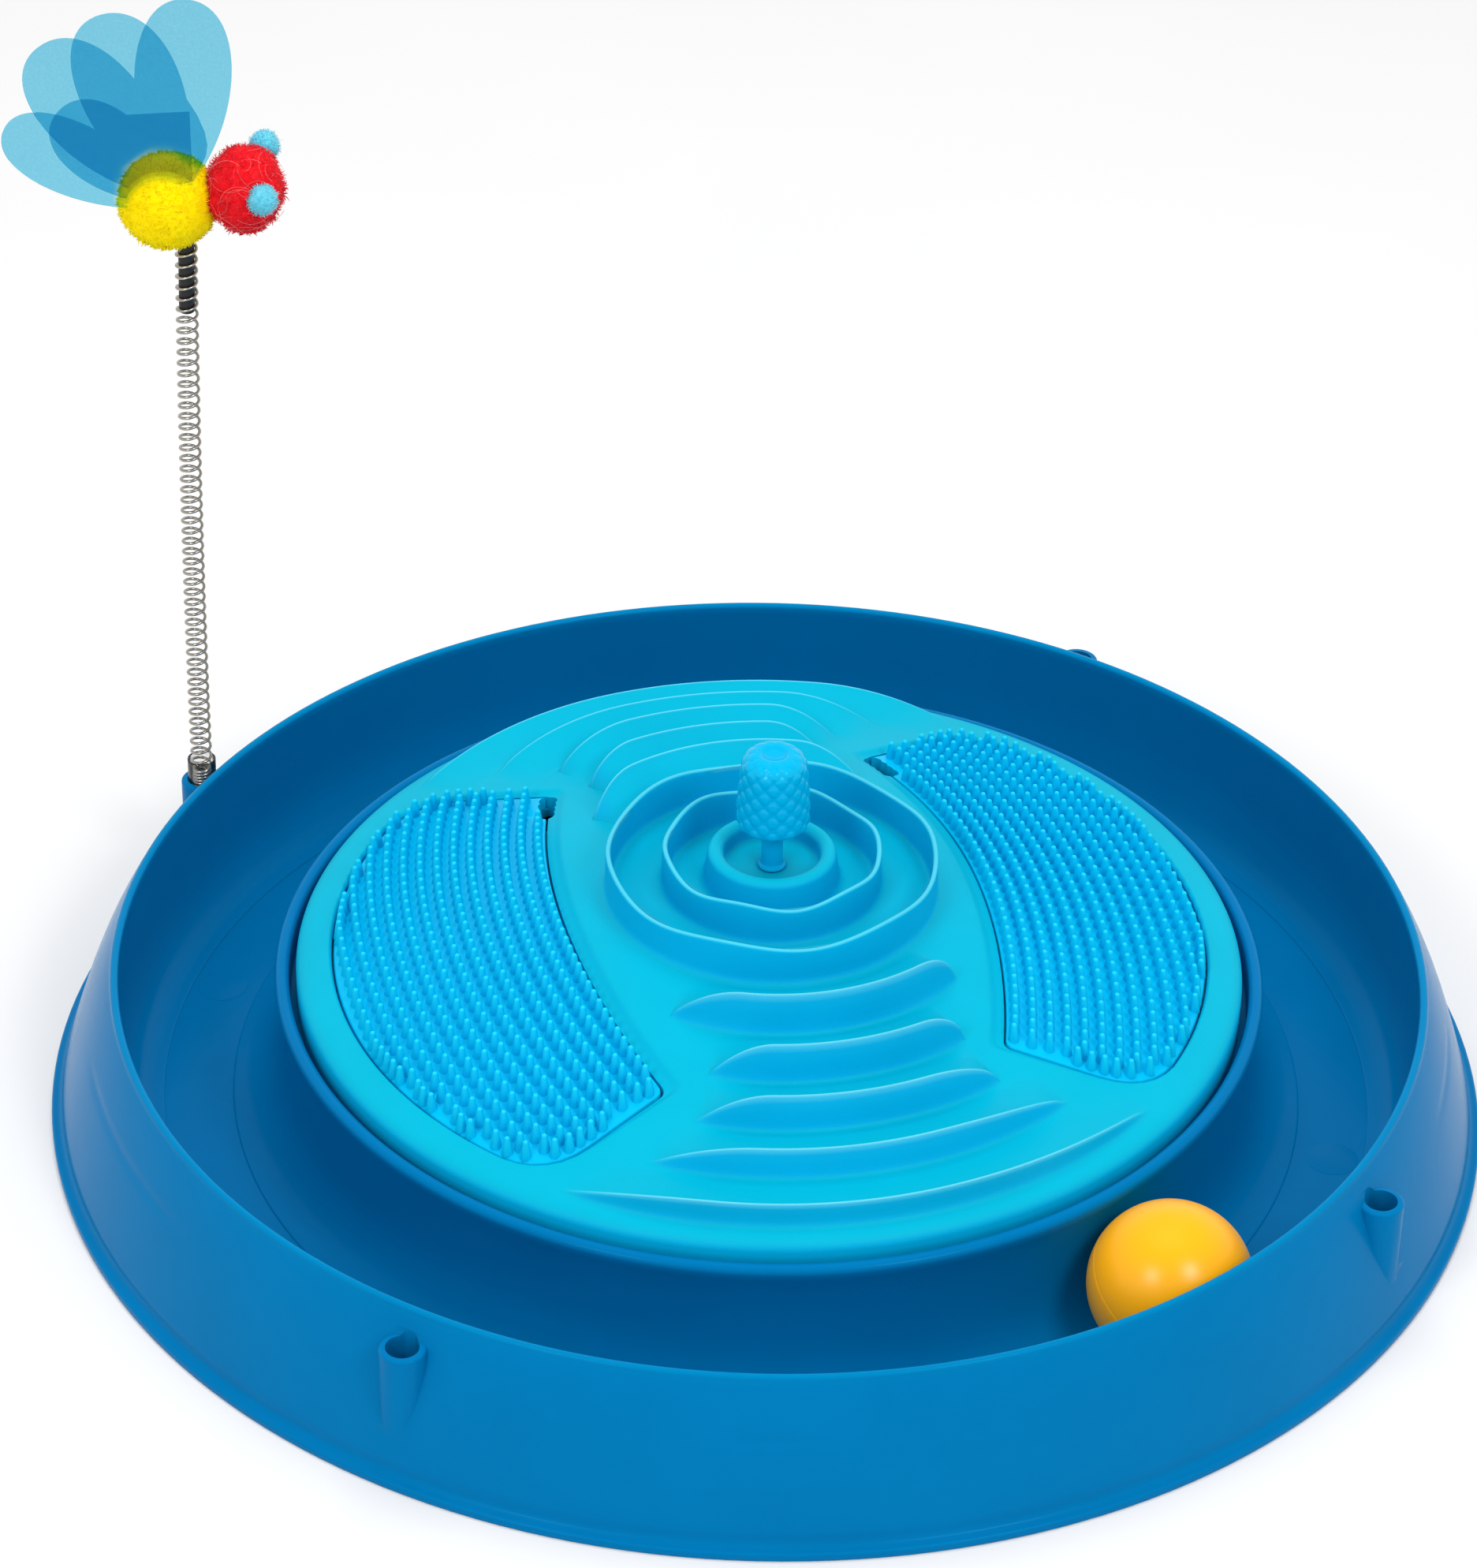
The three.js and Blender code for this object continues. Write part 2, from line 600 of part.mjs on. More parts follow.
// Where the strands stand: rows that follow the pad's inner edge, every other row set over by half
function strandPlaces() {
  const { innerCorner, outerCorner } = padOutline(-BRISTLE_MARGIN);
  const centre = PAD_INNER_OFFSET - PAD_INNER_RADIUS;
  const endSlope = (outerCorner.y - innerCorner.y) / (outerCorner.x - innerCorner.x);
  const places = [];
  const rows = Math.floor((PAD_OUTER_RADIUS - PAD_INNER_OFFSET) / BRISTLE_ROW_PITCH);
  for (let row = 0; row <= rows; row++) {
    const radius = PAD_INNER_RADIUS + BRISTLE_MARGIN + row * BRISTLE_ROW_PITCH;
    const steps = Math.ceil(PAD_OUTER_RADIUS / BRISTLE_PITCH);
    for (let step = -steps; step <= steps; step++) {
      const angle = ((step + (row % 2) / 2) * BRISTLE_PITCH) / radius;
      const x = centre + radius * Math.cos(angle);
      const y = radius * Math.sin(angle);
      const inArc = Math.hypot(x, y) < PAD_OUTER_RADIUS - BRISTLE_MARGIN;
      const inEnds = Math.abs(y) < innerCorner.y + endSlope * (x - innerCorner.x);
      if (inArc && inEnds) places.push([x, y]);
    }
  }
  return places;
}

// Tapered strand from inside the plate up to its tip
function strand([x, y]) {
  const height = dome(Math.hypot(x, y));
  const root = height - POCKET_DEPTH + SEAT_GAP + PAD_PLATE / 2;
  const length = height + BRISTLE_RISE - root;
  const spike = new THREE.ConeGeometry(BRISTLE_RADIUS, length, STRAND_SIDES);
  return spike.rotateX(Math.PI / 2).translate(x, y, root + length / 2);
}

function bristlePad(turn) {
  const floor = -POCKET_DEPTH + SEAT_GAP;
  const plate = padColumn(0, turn).intersect(domeSlice(floor, floor + PAD_PLATE));
  const strands = mergeGeometries(strandPlaces().map(strand));
  return plate.add(solid(strands.rotateZ(radians(PAD_AZIMUTH) + turn)));
}

["left_bristle_pad", "right_bristle_pad"].forEach((name, i) => {
  place(name, geometryOf(bristlePad(HALF_TURNS[i])), bristleBlue);
});

// Stem: barb under the well floor, ring on top of it and a post up into the knob
function knobStem() {
  const post = STEM_DIAMETER / 2;
  const ceiling = WELL_FLOOR - DISC_WALL - SEAT_GAP;
  const ringFloor = WELL_FLOOR + SEAT_GAP;
  const top = KNOB_BOTTOM + KNOB_SOCKET_DEPTH - SEAT_GAP;
  return turned(
    [
      [0, ceiling - STEM_BARB_LENGTH],
      [post, ceiling - STEM_BARB_LENGTH],
      [post + STEM_BARB, ceiling - STEM_BARB_LENGTH / 2],
      [post + STEM_BARB, ceiling],
      [post, ceiling],
      [post, ringFloor],
      [post + STEM_COLLAR, ringFloor],
      [post + STEM_COLLAR, ringFloor + STEM_COLLAR],
      [post, ringFloor + STEM_COLLAR],
      [post, top],
      [0, top],
    ],
    SMALL_SIDES,
  );
}

place("knob_stem", knobStem(), panelBlue);

// Knob: rows of bumps on a narrowing body, each row set over by half a bump, with a dimple on top
function chewKnob() {
  const radius = KNOB_DIAMETER / 2;
  const topRadius = KNOB_TOP_DIAMETER / 2;
  const columns = KNOB_BUMPS_ROUND * 2;
  const socket = STEM_DIAMETER / 2 + SEAT_GAP;
  const top = KNOB_BOTTOM + KNOB_HEIGHT;
  const ring = (size, height, lift = () => 0) =>
    Array.from({ length: columns }, (_, i) => polar(size + lift(i), (2 * Math.PI * i) / columns, height));
  const rings = [
    ring(socket, KNOB_BOTTOM + KNOB_SOCKET_DEPTH),
    ring(socket, KNOB_BOTTOM),
    ring(radius - KNOB_FOOT, KNOB_BOTTOM),
  ];
  const firstRow = KNOB_BOTTOM + KNOB_FOOT;
  const rowPitch = (KNOB_HEIGHT - KNOB_FOOT - KNOB_CROWN) / (KNOB_ROWS - 1);
  const crown = (angle) =>
    ring(topRadius - KNOB_CROWN * (1 - Math.cos(angle)), top - KNOB_CROWN * (1 - Math.sin(angle)));
  for (let row = 0; row < KNOB_ROWS; row++) {
    const narrowing = (radius - topRadius) * (row / (KNOB_ROWS - 1)) ** 2;
    const lift = (i) => ((i + row) % 2 ? KNOB_BUMP : -KNOB_BUMP / 2);
    rings.push(ring(radius - narrowing, firstRow + row * rowPitch, lift));
  }
  rings.push(crown(Math.PI / 4));
  rings.push(ring(KNOB_DIMPLE, top));
  rings.push(ring(KNOB_DIMPLE / 2, top - KNOB_DIMPLE / 2));
  return lofted(rings, false);
}

place("chew_knob", chewKnob(), panelBlue);

// Line that the wand's middle follows, upright in the sleeve and leaning with the insect's weight above it
function wandAxis(height) {
  const rise = Math.max(0, height - SLEEVE_TOP) / (SPRING_END - SLEEVE_TOP);
  const foot = socketAt(SOCKET_AZIMUTHS[WAND_SOCKET]);
  return new THREE.Vector3(foot.x + SPRING_LEAN * rise ** 2, foot.y, height);
}

function wandSleeve() {
  const low = SOCKET_FLOOR + SEAT_GAP;
  const inside = SLEEVE_RADIUS - SLEEVE_WALL;
  const section = [
    [inside, low],
    [SLEEVE_RADIUS, low],
    [SLEEVE_RADIUS, SLEEVE_TOP],
    [inside, SLEEVE_TOP],
  ];
  const foot = wandAxis(0);
  return turnedRing(section, SMALL_SIDES).translate(foot.x, foot.y, 0);
}

place("wand_sleeve", wandSleeve(), clearPlastic);

// Points of the coil, close-wound in the sleeve and open above it
function coilPoints() {
  const points = [];
  let height = SPRING_START;
  for (let i = 0; height <= SPRING_END; i++) {
    const turn = polar(COIL_RADIUS, (2 * Math.PI * i) / SPRING_STEPS, 0);
    points.push({ middle: wandAxis(height).add(turn), out: turn.normalize() });
    const pitch = height < SLEEVE_TOP - OPEN_PITCH ? CLOSE_PITCH : OPEN_PITCH;
    height += pitch / SPRING_STEPS;
  }
  return points;
}

function wandSpring() {
  const points = coilPoints();
  const rings = points.map(({ middle, out }, i) => {
    const before = points[Math.max(0, i - 1)].middle;
    const after = points[Math.min(points.length - 1, i + 1)].middle;
    const travel = after.clone().sub(before).normalize();
    const side = travel.clone().cross(out).normalize();
    return Array.from({ length: WIRE_SIDES }, (_, j) => {
      const angle = (2 * Math.PI * j) / WIRE_SIDES;
      const corner = middle.clone();
      corner.addScaledVector(out, (SPRING_WIRE / 2) * Math.cos(angle));
      return corner.addScaledVector(side, (SPRING_WIRE / 2) * Math.sin(angle));
    });
  });
  return lofted(rings, false);
}

// Least gap between the spring's wire and its own neighbouring turns
function springGap() {
  const points = coilPoints();
  let least = Infinity;
  points.forEach(({ middle }, i) => {
    for (let j = i + SPRING_STEPS / 2; j < points.length; j++) {
      least = Math.min(least, middle.distanceTo(points[j].middle) - SPRING_WIRE);
    }
  });
  return least;
}

place("wand_spring", wandSpring(), springSteel);
console.log(`least gap of the spring to itself ${springGap().toFixed(2)} mm`);

// Core: dark plug from inside the spring's upper end into the insect
const coreFoot = wandAxis(SPRING_END - CORE_IN_SPRING);
const springTop = wandAxis(SPRING_END);
const coreAxis = springTop.clone().sub(coreFoot).normalize();

function coreRod(radius, extra) {
  const length = CORE_IN_SPRING + CORE_IN_BODY + extra;
  const rod = upright(radius, 0, length, CORE_SIDES);
  rod.applyQuaternion(new THREE.Quaternion().setFromUnitVectors(UP, coreAxis));
  return rod.translate(coreFoot.x, coreFoot.y, coreFoot.z);
}

place("spring_core", coreRod(CORE_DIAMETER / 2, 0), darkCore);

// Felt insect
const bodyCentre = springTop.clone().add(BODY_OFFSET);
const headCentre = bodyCentre.clone().add(HEAD_OFFSET);

function pompom(size, centre, grow, sides) {
  const ball = new THREE.SphereGeometry(1, sides, sides / 2);
  ball.scale(size.x / 2 + grow, size.y / 2 + grow, size.z / 2 + grow);
  return solid(ball.translate(centre.x, centre.y, centre.z));
}

// Slab across the insect's back that the films stand in, down to a set depth under the felt
function filmSlot() {
  const width = 2 * (FILM_PITCH + FILM / 2 + SEAT_GAP);
  const slab = new THREE.BoxGeometry(2 * BODY_SIZE.x, width, BODY_SIZE.z);
  slab.translate(bodyCentre.x, bodyCentre.y + SLOT_OFFSET, bodyCentre.z + BODY_SIZE.z / 2 - SLOT_DROP);
  return solid(slab).subtract(pompom(BODY_SIZE, bodyCentre, -SLOT_DEPTH, BODY_SIDES));
}

function beeBody() {
  const whole = pompom(BODY_SIZE, bodyCentre, 0, BODY_SIDES);
  const coreHole = solid(coreRod(CORE_DIAMETER / 2 + SEAT_GAP, SEAT_GAP));
  return whole.subtract(filmSlot()).subtract(coreHole);
}

function beeHead() {
  const whole = pompom(HEAD_SIZE, headCentre, 0, HEAD_SIDES);
  return whole.subtract(pompom(BODY_SIZE, bodyCentre, SEAT_GAP, BODY_SIDES));
}

place("bee_body", geometryOf(beeBody()), feltYellow);
place("bee_head", geometryOf(beeHead()), feltRed);

const eyeSize = new THREE.Vector3(EYE_SIZE, EYE_SIZE, EYE_SIZE);
for (const [name, offset] of Object.entries(EYE_OFFSETS)) {
  const eye = pompom(eyeSize, headCentre.clone().add(offset), 0, EYE_SIDES);
  place(name, geometryOf(eye.subtract(pompom(HEAD_SIZE, headCentre, SEAT_GAP, HEAD_SIDES))), feltBlue);
}

// Wing outline along +X, narrow at the root and round at the tip; its curves peak at a share of their handles
function petal({ length, width, angle }) {
  const reach = width / 2 / PETAL_PEAK;
  const shape = new THREE.Shape();
  shape.moveTo(0, 0);
  shape.bezierCurveTo(length * PETAL_FULLNESS, -reach, length, -reach, length, 0);
  shape.bezierCurveTo(length, reach, length * PETAL_FULLNESS, reach, 0, 0);
  return pulled(shape, 0, FILM, PETAL_STEPS).rotateZ(radians(angle));
}

function patch(corners) {
  return pulled(new THREE.Shape(corners.map(([x, y]) => new THREE.Vector2(x, y))), 0, FILM);
}

// Flat film pieces joined at the root, stood up in the slot and cut off at its floor
function wing(pieces, layer) {
  const flat = join(pieces.map(solid));
  const standing = geometryOf(flat).rotateX(Math.PI / 2);
  standing.translate(
    bodyCentre.x + FILM_ROOT.x,
    bodyCentre.y + SLOT_OFFSET + layer * FILM_PITCH + FILM / 2,
    bodyCentre.z + FILM_ROOT.y,
  );
  return solid(standing).subtract(pompom(BODY_SIZE, bodyCentre, SEAT_GAP - SLOT_DEPTH, BODY_SIDES));
}

const wings = {
  wing_far: wing(FAR_PETALS.map(petal), 1),
  wing_inner: wing([...INNER_PETALS.map(petal), patch(TAB_CORNERS)], 0),
  wing_near: wing([...NEAR_PETALS.map(petal), patch(FLARE_CORNERS)], -1),
};
for (const [name, film] of Object.entries(wings)) {
  place(name, geometryOf(film), filmBlue);
}

export default toy;
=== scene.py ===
"""Dressed model of a round cat toy: ball track, massager panel, chew knob and a sprung insect wand.

Pieces are modelled in millimetres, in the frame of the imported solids, and turn into metres
when they are finished.
"""
import logging
import math
import random
from dataclasses import dataclass, field
from enum import Enum
from functools import cache
from typing import Callable, Sequence

import bmesh
import bpy
from bmesh.types import BMEdge, BMesh, BMVert
from mathutils import Matrix, Vector, noise
from mathutils.geometry import interpolate_bezier


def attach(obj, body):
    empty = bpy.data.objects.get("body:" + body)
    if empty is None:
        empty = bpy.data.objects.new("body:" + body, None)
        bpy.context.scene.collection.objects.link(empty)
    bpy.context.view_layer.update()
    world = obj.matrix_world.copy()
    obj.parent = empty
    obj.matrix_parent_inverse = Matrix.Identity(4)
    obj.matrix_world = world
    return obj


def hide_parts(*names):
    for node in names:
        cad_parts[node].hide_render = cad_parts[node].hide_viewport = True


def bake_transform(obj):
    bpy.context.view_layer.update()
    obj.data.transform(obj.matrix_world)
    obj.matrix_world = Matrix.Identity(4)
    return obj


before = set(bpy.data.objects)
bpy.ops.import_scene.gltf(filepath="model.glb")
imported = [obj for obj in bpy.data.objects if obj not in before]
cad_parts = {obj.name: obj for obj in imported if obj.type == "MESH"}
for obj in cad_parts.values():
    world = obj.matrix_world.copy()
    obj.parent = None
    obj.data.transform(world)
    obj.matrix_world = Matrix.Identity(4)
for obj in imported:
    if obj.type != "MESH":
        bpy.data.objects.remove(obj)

LOG = logging.getLogger("cat_toy")
MM = 0.001
WELD = 1e-4
PAD_TURNS = ((195.1, -1.0), (15.1, 1.0))
# Ramp of painted wall shade: a bluer tone on upright faces standing in for bounced light in shade.
WALL_SHADE_START = 0.9
WALL_SHADE_SPAN = 0.6
UP = Vector((0.0, 0.0, 1.0))
ORIGIN = Vector((0.0, 0.0, 0.0))
Colour = tuple[float, float, float, float]
Values = dict[str | int, object]


class Body(str, Enum):
    """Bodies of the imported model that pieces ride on."""

    BASE = "base"
    BALL = "ball"
    MASSAGER = "massager"
    LEFT_PAD = "left_pad"
    RIGHT_PAD = "right_pad"
    KNOB = "knob"
    WAND = "wand"
    TIP = "wand_tip"


class Slot(str, Enum):
    """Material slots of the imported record."""

    TRACK = "track_plastic"
    PANEL = "panel_plastic"
    BRISTLE = "bristle_rubber"
    KNOB = "knob_rubber"
    BALL = "ball_plastic"
    CLEAR = "clear_plastic"
    STEEL = "spring_steel"
    CORE = "core_rubber"
    YELLOW = "yellow_felt"
    RED = "red_felt"
    BLUE = "blue_felt"
    FILM = "wing_film"


class Fit(str, Enum):
    """Ways of combining two closed shapes."""

    JOIN = "UNION"
    CUT = "DIFFERENCE"
    COMMON = "INTERSECT"


class Outline:
    """Plane line of points grown from straight runs, curves and arcs."""

    def __init__(self, x: float, y: float) -> None:
        """Starts the line at one point."""
        self.points: list[Vector] = [Vector((x, y))]

    def line(self, x: float, y: float, steps: int = 1) -> "Outline":
        """Runs straight to a point in equal steps.

        Args:
            x: First coordinate of the end, in millimetres.
            y: Second coordinate of the end.
            steps: Number of pieces the run is cut into.

        Returns:
            The outline itself, so that runs can be chained.
        """
        start, end = self.points[-1], Vector((x, y))
        self.points += [start.lerp(end, i / steps) for i in range(1, steps + 1)]
        return self

    def curve(self, cx: float, cy: float, x: float, y: float, steps: int = 8) -> "Outline":
        """Curves to a point, pulled towards a corner.

        Args:
            cx: First coordinate of the corner.
            cy: Second coordinate of the corner.
            x: First coordinate of the end.
            y: Second coordinate of the end.
            steps: Number of pieces the curve is cut into.

        Returns:
            The outline itself.
        """
        start, corner, end = self.points[-1], Vector((cx, cy)), Vector((x, y))
        for i in range(1, steps + 1):
            t = i / steps
            self.points.append(start.lerp(corner, t).lerp(corner.lerp(end, t), t))
        return self

    def arc(
        self, cx: float, cy: float, radius: float, start: float, end: float, steps: int
    ) -> "Outline":
        """Follows a circle between two angles.

        Args:
            cx: First coordinate of the circle's centre.
            cy: Second coordinate of the circle's centre.
            radius: Radius of the circle.
            start: Angle of the first point, in degrees.
            end: Angle of the last point, in degrees.
            steps: Number of pieces the arc is cut into.

        Returns:
            The outline itself.
        """
        for i in range(steps + 1):
            angle = math.radians(start + (end - start) * i / steps)
            point = Vector((cx + radius * math.cos(angle), cy + radius * math.sin(angle)))
            if (point - self.points[-1]).length > WELD:
                self.points.append(point)
        return self

    def turned(self, steps: int, closed: bool = False) -> BMesh:
        """Spins the line as a half section of radius and height about the upright axis.

        Args:
            steps: Number of steps in the full turn.
            closed: Whether the last point runs back to the first.

        Returns:
            A closed mesh with its faces pointing outwards.
        """
        bm = bmesh.new()
        verts = [bm.verts.new((point.x, 0.0, point.y)) for point in self.points]
        pairs = list(zip(verts, verts[1:])) + ([(verts[-1], verts[0])] if closed else [])
        edges = [bm.edges.new(pair) for pair in pairs]
        full = {"cent": ORIGIN, "axis": UP, "angle": math.tau, "use_merge": True}
        bmesh.ops.spin(bm, geom=verts + edges, steps=steps, **full)
        return tidy(bm)


def faced(bm: BMesh) -> BMesh:
    """Turns the faces outwards and returns the mesh."""
    bmesh.ops.recalc_face_normals(bm, faces=bm.faces[:])
    return bm


def tidy(bm: BMesh) -> BMesh:
    """Merges doubled points, turns the faces outwards and returns the mesh."""
    bmesh.ops.remove_doubles(bm, verts=bm.verts[:], dist=WELD)
    return faced(bm)


def only(items: Sequence[object], kind: type | tuple[type, ...]) -> list:
    """Items of one or more kinds, such as the points in a list of geometry."""
    return [item for item in items if isinstance(item, kind)]


def loop_of(ring: Sequence[BMVert]) -> list:
    """Points of a ring and the edges between them, in a settled order."""
    return [*ring, *dict.fromkeys(edge for vert in ring for edge in vert.link_edges)]


def at(*place: float) -> Vector:
    """Dataclass field whose default is one point."""
    return field(default_factory=lambda: Vector(place))


def polar(radius: float, azimuth: float, height: float = 0.0) -> Vector:
    """Point at a radius, an azimuth in degrees and a height."""
    angle = math.radians(azimuth)
    return Vector((radius * math.cos(angle), radius * math.sin(angle), height))


def around(place: Vector) -> tuple[float, float]:
    """Radius and azimuth in degrees of a point about the upright axis."""
    return math.hypot(place.x, place.y), math.degrees(math.atan2(place.y, place.x))


def smooth_step(value: float) -> float:
    """Soft ramp from 0 to 1."""
    t = min(1.0, max(0.0, value))
    return t * t * (3.0 - 2.0 * t)


def scatter(rng: random.Random) -> Vector:
    """Random direction and length, alike to all sides."""
    return Vector((rng.gauss(0.0, 1.0), rng.gauss(0.0, 1.0), rng.gauss(0.0, 1.0)))


def turn_apart(first: float, second: float) -> float:
    """Signed turn in degrees from the second azimuth to the first, within half a turn."""
    return (first - second + 180.0) % 360.0 - 180.0


def all_of(bm: BMesh) -> list:
    """Every point, edge and face of a mesh."""
    return bm.verts[:] + bm.edges[:] + bm.faces[:]


def round_top(bm: BMesh, high: float, width: float, segments: int) -> None:
    """Rounds the edges at the top of a post.

    Args:
        bm: The mesh of the post.
        high: Height of its top.
        width: Width of the rounded edge.
        segments: Number of steps across it.
    """
    rim = [edge for edge in bm.edges if all(vert.co.z > high - WELD for vert in edge.verts)]
    bmesh.ops.bevel(
        bm, geom=rim, offset=width, segments=segments, profile=0.5, affect="EDGES", material=-1
    )


def post(radius: float, low: float, high: float, sides: int, rounding: float = 0.0) -> BMesh:
    """Upright round post on the axis.

    Args:
        radius: Radius of the post.
        low: Height of its foot.
        high: Height of its top.
        sides: Number of sides.
        rounding: Width of the rounded edge at the top.

    Returns:
        The closed post.
    """
    bm = bmesh.new()
    middle = Matrix.Translation((0.0, 0.0, (low + high) / 2.0))
    bmesh.ops.create_cone(
        bm, cap_ends=True, segments=sides, radius1=radius, radius2=radius,
        depth=high - low, matrix=middle,
    )
    if rounding:
        round_top(bm, high, rounding, 4)
    return bm


def plate(points: Sequence[Vector], low: float, high: float) -> BMesh:
    """Flat plate on a closed plan.

    Args:
        points: Corners of the plan in order.
        low: Height of its underside.
        high: Height of its upper side.

    Returns:
        The closed plate.
    """
    bm = bmesh.new()
    verts = [bm.verts.new((point.x, point.y, low)) for point in points]
    rim = [bm.edges.new(pair) for pair in zip(verts, verts[1:] + verts[:1])]
    bmesh.ops.contextual_create(bm, geom=rim)
    lid = bmesh.ops.extrude_edge_only(bm, edges=rim)["geom"]
    bmesh.ops.translate(bm, vec=UP * (high - low), verts=only(lid, BMVert))
    bmesh.ops.contextual_create(bm, geom=only(lid, BMEdge))
    return faced(bm)


def encloses(plan: Sequence[Vector], place: Vector) -> bool:
    """Whether a place lies inside a closed plan.

    Args:
        plan: Corners of the plan in order.
        place: The place asked about.

    Returns:
        True if it lies inside.
    """
    inside = False
    for first, second in zip(plan, [*plan[1:], plan[0]]):
        if (first.y > place.y) != (second.y > place.y):
            share = (place.y - first.y) / (second.y - first.y)
            inside ^= place.x < first.x + share * (second.x - first.x)
    return inside


def moved(bm: BMesh, matrix: Matrix) -> BMesh:
    """Places a mesh by a matrix and returns it."""
    bmesh.ops.transform(bm, matrix=matrix, verts=bm.verts[:])
    return bm


def mesh_of(bm: BMesh, name: str) -> bpy.types.Mesh:
    """Writes a mesh out under a name and frees it."""
    mesh = bpy.data.meshes.new(name)
    bm.to_mesh(mesh)
    bm.free()
    return mesh


def linked(name: str, data: bpy.types.ID) -> bpy.types.Object:
    """Puts a mesh, light or camera into the scene as an object."""
    obj = bpy.data.objects.new(name, data)
    bpy.context.scene.collection.objects.link(obj)
    return obj


def absorb(bm: BMesh, other: BMesh) -> BMesh:
    """Adds another mesh's geometry beside the mesh and frees the other."""
    mesh = mesh_of(other, "absorbed")
    bm.from_mesh(mesh)
    bpy.data.meshes.remove(mesh)
    return bm


def fitted(bm: BMesh, tool: BMesh, fit: Fit) -> BMesh:
    """Combines two closed meshes.

    Args:
        bm: The mesh that is worked on.
        tool: The mesh it is joined with, cut by or limited to.
        fit: How the two are combined.

    Returns:
        A new mesh; both inputs are freed.
    """
    work, cutter = linked("work", mesh_of(bm, "work")), linked("tool", mesh_of(tool, "tool"))
    boolean = work.modifiers.new("fit", "BOOLEAN")
    boolean.operation = fit.value
    boolean.solver = "MANIFOLD"
    boolean.object = cutter
    shaped = work.evaluated_get(bpy.context.evaluated_depsgraph_get())
    result = bmesh.new()
    result.from_mesh(shaped.to_mesh())
    shaped.to_mesh_clear()
    for obj in (work, cutter):
        mesh = obj.data
        bpy.data.objects.remove(obj)
        bpy.data.meshes.remove(mesh)
    return result


class NodeSheet:
    """Lays nodes in one node tree and joins their sockets."""

    def __init__(self, tree: bpy.types.NodeTree) -> None:
        """Opens the tree that nodes are laid in."""
        self.tree = tree

    def add(self, kind: str, values: Values | None = None, **settings: object) -> bpy.types.Node:
        """Adds one node.

        Args:
            kind: Type name of the node.
            values: Inputs by name or index, each a plain value or another node's output to link.
            settings: Properties set on the node itself.

        Returns:
            The new node.
        """
        node = self.tree.nodes.new(kind)
        for key, value in settings.items():
            setattr(node, key, value)
        self.fill(node, values or {})
        return node

    def fill(self, node: bpy.types.Node, values: Values) -> None:
        """Sets or links a node's inputs.

        Args:
            node: The node.
            values: Inputs by name or index, each a plain value or another node's output to link.
        """
        for key, value in values.items():
            if isinstance(value, bpy.types.NodeSocket):
                self.tree.links.new(value, node.inputs[key])
            else:
                node.inputs[key].default_value = value

    def coords(self) -> bpy.types.NodeSocket:
        """Object coordinates."""
        return self.add("ShaderNodeTexCoord").outputs["Object"]

    def noise(
        self, scale: object, detail: float, rough: float = 0.5, **extra: object
    ) -> bpy.types.NodeSocket:
        """Noise value on Object coordinates.

        Args:
            scale: Cycles in a metre, a number or a socket.
            detail: Number of finer layers.
            rough: Strength of the finer layers.
            extra: Further inputs by name, such as Vector or Distortion.

        Returns:
            The noise value's socket.
        """
        inputs: Values = {"Vector": extra.pop("Vector", None) or self.coords(), "Scale": scale}
        inputs.update({"Detail": detail, "Roughness": rough, **extra})
        return self.add("ShaderNodeTexNoise", inputs).outputs[0]

    def math(self, operation: str, *inputs: object) -> bpy.types.NodeSocket:
        """Result of one sum on numbers or sockets."""
        return self.add("ShaderNodeMath", dict(enumerate(inputs)), operation=operation).outputs[0]

    def ramp(self, value: object, low: float, high: float) -> bpy.types.NodeSocket:
        """Value stretched so that low becomes 0 and high becomes 1, held inside both."""
        inputs = {"Value": value, "From Min": low, "From Max": high}
        return self.add("ShaderNodeMapRange", inputs).outputs[0]

    def mix(self, share: object, first: object, second: object) -> bpy.types.NodeSocket:
        """Colour between two, by a share."""
        inputs = {0: share, 6: first, 7: second}
        return self.add("ShaderNodeMix", inputs, data_type="RGBA").outputs[2]

    def effect(self, tree: bpy.types.NodeTree, values: Values) -> bpy.types.Node:
        """Places a shared effect with its own values."""
        return self.add("ShaderNodeGroup", values, node_tree=tree)

    def relief(self, height: bpy.types.NodeSocket, depth: float) -> bpy.types.NodeSocket:
        """Normal of a surface whose relief has a depth in millimetres."""
        return self.add("ShaderNodeBump", {"Height": height, "Distance": depth * MM}).outputs[0]


@dataclass(frozen=True)
class EffectSocket:
    """Named socket of a shared effect."""

    name: str
    kind: str = "NodeSocketFloat"


COLOUR_SOCKET = "NodeSocketColor"


def open_effect(
    name: str, inputs: Sequence[EffectSocket], outputs: Sequence[EffectSocket]
) -> tuple[NodeSheet, bpy.types.Node, bpy.types.Node]:
    """Opens a shader node group with named sockets.

    Args:
        name: Name of the group.
        inputs: Sockets that a material gives values to.
        outputs: Sockets that a material reads.

    Returns:
        The group's sheet, its input node and its output node.
    """
    tree = bpy.data.node_groups.new(name, "ShaderNodeTree")
    for side, sockets in (("INPUT", inputs), ("OUTPUT", outputs)):
        for socket in sockets:
            tree.interface.new_socket(name=socket.name, in_out=side, socket_type=socket.kind)
    sheet = NodeSheet(tree)
    return sheet, sheet.add("NodeGroupInput"), sheet.add("NodeGroupOutput")


